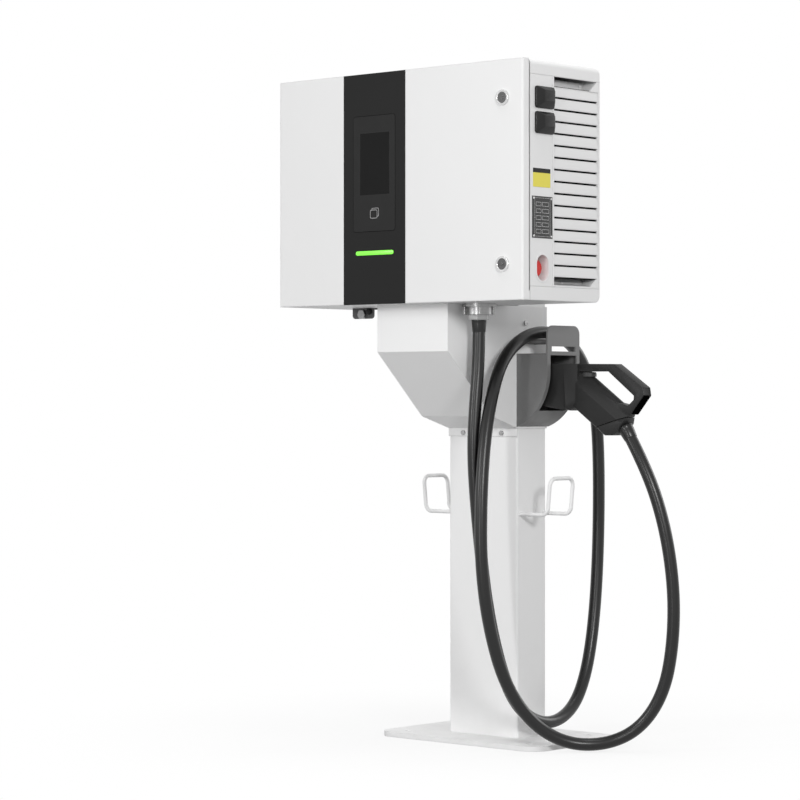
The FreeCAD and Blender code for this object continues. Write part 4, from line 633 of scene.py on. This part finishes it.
# ---------------------------------------------------------------- side panels
def louvre_panel(side, sign):
    """The rear side sheet: a hood recess at the top and the bottom, and slots between leaning blades."""
    pitch, slot_half, hood, sheet = 23.06, 1.75, 20, 2
    low, high = extent(f"{side}_louvre_panel")
    face = high.x if sign > 0 else -low.x
    front, rear, foot, head = low.y, high.y, low.z, high.z
    first, last = front + 4, rear - 4
    slots = [head - 40.4 - pitch * i for i in range(15)]
    parts = []

    def add_slab(*shape):
        parts.append(slab(*shape))

    add_slab([(face, front), (face + 1.3, front + 2.6), (face + 1.3, first - 0.6), (face, first),
              (face - sheet, first), (face - sheet, front)], "z", foot, head)
    add_slab([(face - sheet, last), (face, last), (face, rear), (face - sheet, rear)], "z", foot, head)
    edges = [z for slot in slots for z in (slot + slot_half, slot - slot_half)]
    edges = [head - hood, *edges, foot + hood]
    for top, bottom in zip(edges[::2], edges[1::2]):
        add_slab([(face - 3.0, top), (face - 1.1, top + 0.2), (face, bottom + 1.2), (face - 0.1, bottom),
                  (face - sheet, bottom)], "y", first, last)
    for slot in slots:
        add_slab([(last - 5, slot - slot_half), (last, slot - slot_half), (last, slot + slot_half)], "x",
                 face - sheet, face - 0.1)
    for top, bottom in ((head, head - hood), (foot + hood, foot + 4)):
        add_slab([(face - 36, top), (face - 35, top), (face - 26, bottom + 5), (face, bottom + 0.6),
                  (face - 1, bottom - 0.4), (face - 36, bottom)], "y", first, last)
        add_slab([(last, top), (last - 3, top), (last - 24, bottom), (last, bottom)], "x", face - 36, face)
    add_slab([(face - sheet, foot), (face, foot), (face, foot + 4), (face - sheet, foot + 4)], "y",
             first, last)
    for across, up in ((rear - 84, foot + 10), (rear - 42, foot + 10), (rear - 30, head - 8)):
        parts.append(lathe([(0, 1.0), (1.6, 0.9), (2.0, 0), (2.0, -1)], "x", (face - 25, across, up),
                           steps=12))
    whole = joined(*parts)
    if sign < 0:
        mirrored(whole)
    piece(f"{side}_louvres", whole, case_white, "post", [f"{side}_louvre_panel"])

    # A near-black matte sheet just behind the slots: painted shade for the dark interior seen through them.
    shade_backing = slab(rectangle(first, foot + hood - 2, last, head - hood + 2), "x", face - 4.4, face - 3.6)
    if sign < 0:
        mirrored(shade_backing)
    piece(f"{side}_slot_shade_backing", shade_backing, matte_black_and_shade, "post")


def antenna_caps():
    """Two raised covers: a rounded base, then sloped sides up to a smaller face."""
    tall, foot = 42, 4
    low, high = extent("antenna_covers")
    caps = []
    for base in (high.z - tall, low.z):
        cap = slab(rectangle(low.y, base, high.y, base + tall, corner=5), "x", low.x, low.x + foot)
        top = next(f for f in cap.faces
                   if f.normal.x > 0.9 and f.calc_center_median().x > low.x + foot - 0.1)
        for vert in moved_verts(bmesh.ops.extrude_face_region(cap, geom=[top])["geom"]):
            across = (vert.co.y - low.y) / (high.y - low.y)
            rise = (vert.co.z - base) / tall
            vert.co = (high.x, low.y + 17 + across * (high.y - low.y - 25), base + 12.5 + rise * 22)
        bmesh.ops.delete(cap, geom=[top], context="FACES_ONLY")
        bmesh.ops.recalc_face_normals(cap, faces=cap.faces)
        soften(cap, 1.1, steps=3, angle=20)
        caps.append(cap)
    piece("antenna_caps", joined(*caps), cover_black, "post", ["antenna_covers"])


def side_labels():
    """A plain two-tone tag and a bare data plate with empty ruled fields."""
    tag_front, tag_rear, tag_foot, tag_step, tag_head = -280.8, -228.3, 1102, 1129.5, 1138
    row_gap, row_tall, line_wide = 13, 8, 0.8
    face = extent("right_side_panel")[1].x
    tag = rectangle(tag_front, tag_foot, tag_rear, tag_step, corner=1.2)
    piece("tag_field", slab(tag, "x", face, face + 0.25), tag_yellow, "post")
    band = rectangle(tag_front, tag_step, tag_rear, tag_head, corner=1.2)
    piece("tag_band", slab(band, "x", face, face + 0.3), tag_black, "post")
    low, high = extent("data_plate")

    def ruled(left, bottom, right, top, wide):
        """An empty box of thin lines on the plate."""
        return frame_slab(rectangle(left, bottom, right, top),
                          rectangle(left + wide, bottom + wide, right - wide, top - wide),
                          "x", high.x, high.x + 0.08)

    fields = [ruled(low.y + 7, low.z + 3, high.y - 7, high.z - 3, 0.6)]
    for row in range(5):
        level = low.z + 9 + row * row_gap
        for start, end in ((low.y + 11, low.y + 27), (low.y + 30, high.y - 11)):
            fields.append(ruled(start, level, end, level + row_tall, line_wide))
    piece("plate_fields", joined(*fields), plate_lines, "post")


louvre_panel("right", 1)
louvre_panel("left", -1)
antenna_caps()
side_labels()


# ---------------------------------------------------------------- door front
def display():
    """Cover glass over the module, the dark screen, a plain card sign, and the light bar."""
    front = min(extent(node)[0].y for node in ("fascia_panel", "display_module", "card_reader"))
    left, low, right, high = -115.8, 1031.0, -3.8, 1261.0
    rim = frame_slab(rectangle(left - 0.7, low - 0.7, right + 0.7, high + 0.7, corner=6.7),
                     rectangle(left, low, right, high, corner=6), "y", front - 0.08, front + 0.2)
    piece("display_rim", rim, matte_black_and_shade, "door")
    cover = slab(rectangle(left, low, right, high, corner=6), "y", front - 0.25, front)
    piece("display_cover", soften(cover, 0.12, steps=1, angle=60), display_black, "door")
    lo, hi = extent("display_screen")
    screen = slab(rectangle(lo.x, lo.z, hi.x, hi.z, corner=1), "y", front - 0.3, front)
    piece("screen_glass", screen, glass, "door", ["display_screen"])
    middle_x, middle_z = -58.7, 1067.0
    lines = []
    for shift, start, end in ((0.0, -0.4, -0.3), (4.0, -0.35, -0.2)):
        x, z = middle_x - 2 + shift, middle_z - 1.8 + shift * 0.9
        lines.append(frame_slab(rectangle(x - 9.5, z - 8.5, x + 9.5, z + 8.5, corner=3),
                                rectangle(x - 8.6, z - 7.6, x + 8.6, z + 7.6, corner=2.2), "y",
                                front + start, front + end))
    patch = slab(rectangle(middle_x - 10.6, middle_z - 9.4, middle_x + 6.6, middle_z + 5.8, corner=2.2),
                 "y", front - 0.36, front - 0.3)
    piece("card_sign", joined(*lines), sign_grey, "door")
    piece("card_sign_ground", patch, display_black, "door")
    lo = extent("light_guide")[0]
    bar = slab(rectangle(-108.9, 983.75, -7.8, 992.25, corner=4.2, steps=6), "y", lo.y - 0.5, lo.y + 1)
    piece("light_bar", soften(bar, 0.4, steps=2, angle=60), light, "door", ["light_guide"])


def locks():
    """Turned chrome bezels, dished towards the plugs, and plugs with a square key post."""
    bezels = []
    x, face, post_half = 273.5, extent("lock_housings")[0].y, 2.6
    for name, z in (("upper_lock", 1272.7), ("lower_lock", 954.8)):
        bezels.append(lathe([(15.2, 5.2), (15.2, 1.6), (14.6, 0.5), (13.4, 0.0), (12.6, 0.2), (11.8, 1.2),
                             (11.4, 2.6), (11.4, 5.2)], "y", (x, face, z)))
        core = lathe([(0, 1.7), (3.2, 1.7), (3.4, 2.2), (10.6, 2.2), (11.1, 2.6), (11.1, 5)], "y",
                     (x, face, z))
        post = rectangle(x - post_half, z - post_half, x + post_half, z + post_half)
        notch = rectangle(x + 5.6, z - 4.6, x + 9.4, z - 1.4)
        shapes = (core, soften(slab(post, "y", face + 0.6, face + 2.4), 0.5, 2),
                  soften(slab(notch, "y", face + 1.5, face + 2.4), 0.4, 2))
        piece(f"{name}_face", joined(*shapes), lock_grey, name)
    piece("lock_bezels", joined(*bezels), chrome, "door")


display()
locks()


# ---------------------------------------------------------------- underside and cable fittings
def hexagon(across_flats):
    """Corners of a hexagon that stands on one corner."""
    radius = across_flats / math.sqrt(3)
    turns = [math.radians(60 * i + 30) for i in range(6)]
    return [(radius * math.cos(turn), radius * math.sin(turn)) for turn in turns]


def sleeve(name, start, direction, length, wide, narrow, body):
    """A tapered rubber sleeve round the cable."""
    way = Vector(direction).normalized()
    shape = lathe([(narrow - 3, 0), (wide, 0), (wide, 2), (wide - 0.6, 3), (wide - 0.8, length * 0.35),
                   (narrow + 0.3, length - 1), (narrow - 0.2, length), (narrow - 3, length)], "z", (0, 0, 0),
                  steps=40)
    bmesh.ops.transform(shape, matrix=Matrix.Translation(Vector(start) * 1000) @
                        way.to_track_quat("Z", "Y").to_matrix().to_4x4(), verts=shape.verts)
    return piece(name, shape, cable_black, body)


down = Vector(ROUTE[1]) - Vector(ROUTE[0])
top_sleeve = sleeve("gland_sleeve", ROUTE[0], down, 24, 15.2, 12.9, "post")
back = Vector(ROUTE[-2]) - Vector(ROUTE[-1])
plug_sleeve = sleeve("plug_sleeve", Vector(ROUTE[-1]) - back.normalized() * 0.004, back, 26, 15.8, 13.0,
                     "connector")


def vent_plug():
    """The earth lug with its rounded foot, and a black breather plug beside its bolt."""
    low, high = extent("earth_lug")
    left, right, thick = low.x, high.x, 3
    foot = [(left, high.z), (left, low.z + 6), (left + 2, low.z + 2), (left + 6, low.z), (right - 6, low.z),
            (right - 2, low.z + 2), (right, low.z + 6), (right, high.z)]
    tab = slab(foot, "y", low.y, low.y + thick)
    ear = slab([(left, high.z), (left, high.z - thick), (right, high.z - thick), (right, high.z)], "y",
               low.y + thick, high.y)
    piece("earth_tab", joined(soften(tab, 0.5, 2), ear), lug_grey, "post", ["earth_lug"])
    x, y, z = high.x - 10, low.y, low.z + 15
    shape = slab([(x + a, z + b) for a, b in hexagon(12)], "y", y - 7, y)
    piece("breather_plug", soften(shape, 1.2, 2), fan_black, "post")


vent_plug()


# ---------------------------------------------------------------- stage, light and camera
def stage():
    """A pale floor that fades into white where it is seen, and a darker one where it lights the object."""
    mesh = bpy.data.meshes.new("studio_floor")
    shape = bmesh.new()
    bmesh.ops.create_circle(shape, cap_ends=True, segments=96, radius=14.0)
    shape.to_mesh(mesh)
    shape.free()
    floor = bpy.data.objects.new("studio_floor", mesh)
    floor.location = (0, 0, -0.0005)
    bpy.context.collection.objects.link(floor)
    material, tree, body = shader("studio_floor", Roughness=0.9, Specular_IOR_Level=0.1)
    away = add(tree, "VectorMath", {0: here(tree)}, operation="LENGTH").outputs["Value"]
    fade = ramp(tree, away, 0.35, 1.1, 0.80, 1.0, interpolation_type="SMOOTHSTEP")
    seen = seen_directly(tree)
    bounced, shown = (0.24, 0.24, 0.24, 1.0), (0.96, 0.96, 0.96, 1.0)
    tree.links.new(blended(tree, seen, bounced, shown), body.inputs["Base Color"])
    glow = add(tree, "Emission", {"Color": (1, 1, 1, 1), "Strength": 1.0})
    both = add(tree, "MixShader", {0: calc(tree, "MULTIPLY", seen, fade), 1: body.outputs[0],
                                   2: glow.outputs[0]})
    tree.links.new(both.outputs[0], tree.nodes["Material Output"].inputs["Surface"])
    mesh.materials.append(material)

    world = bpy.data.worlds.new("studio")
    bpy.context.scene.world = world
    world.use_nodes = True
    tree = world.node_tree
    dim = add(tree, "Background", {"Color": (1, 1, 1, 1), "Strength": 0.50})
    full = add(tree, "Background", {"Color": (1, 1, 1, 1), "Strength": 1.0})
    both = add(tree, "MixShader", {0: seen_directly(tree), 1: dim.outputs[0], 2: full.outputs[0]})
    tree.links.new(both.outputs[0], tree.nodes["World Output"].inputs["Surface"])


def lamp(name, place, size, power, target=(0.1, -0.1, 0.8)):
    """A soft rectangular lamp that faces a target."""
    data = bpy.data.lights.new(name, "AREA")
    data.shape = "RECTANGLE"
    data.size, data.size_y = size
    data.energy = power
    source = bpy.data.objects.new(name, data)
    source.location = place
    source.rotation_euler = (Vector(target) - Vector(place)).to_track_quat("-Z", "Y").to_euler()
    bpy.context.collection.objects.link(source)


stage()
lamp("front_softbox", (-1.5, -4.2, 1.7), (0.8, 0.8), 40, target=(0.0, -0.1, 0.6))
lamp("side_softbox", (3.6, -2.3, 1.8), (0.7, 0.7), 66, target=(0.1, -0.1, 0.6))
lamp("top_softbox", (0.3, -0.4, 3.8), (1.6, 1.6), 34)
lamp("edge_strip", (1.25, -4.1, 0.9), (0.26, 1.9), 30, target=(0.2, -0.1, 0.7))
lamp("rear_softbox", (1.5, 4.0, 2.0), (1.8, 1.8), 36)

sight = bpy.data.cameras.new("camera")
sight.sensor_width = 36.0
sight.lens = 124.11
sight.clip_start, sight.clip_end = 0.05, 60.0
camera = bpy.data.objects.new("camera", sight)
camera.location = (3.6476, -4.3569, 0.6952)
camera.rotation_euler = (math.radians(90.0), 0.0, math.radians(41.96))
bpy.context.collection.objects.link(camera)
bpy.context.scene.camera = camera
bpy.context.scene.view_settings.view_transform = "Standard"
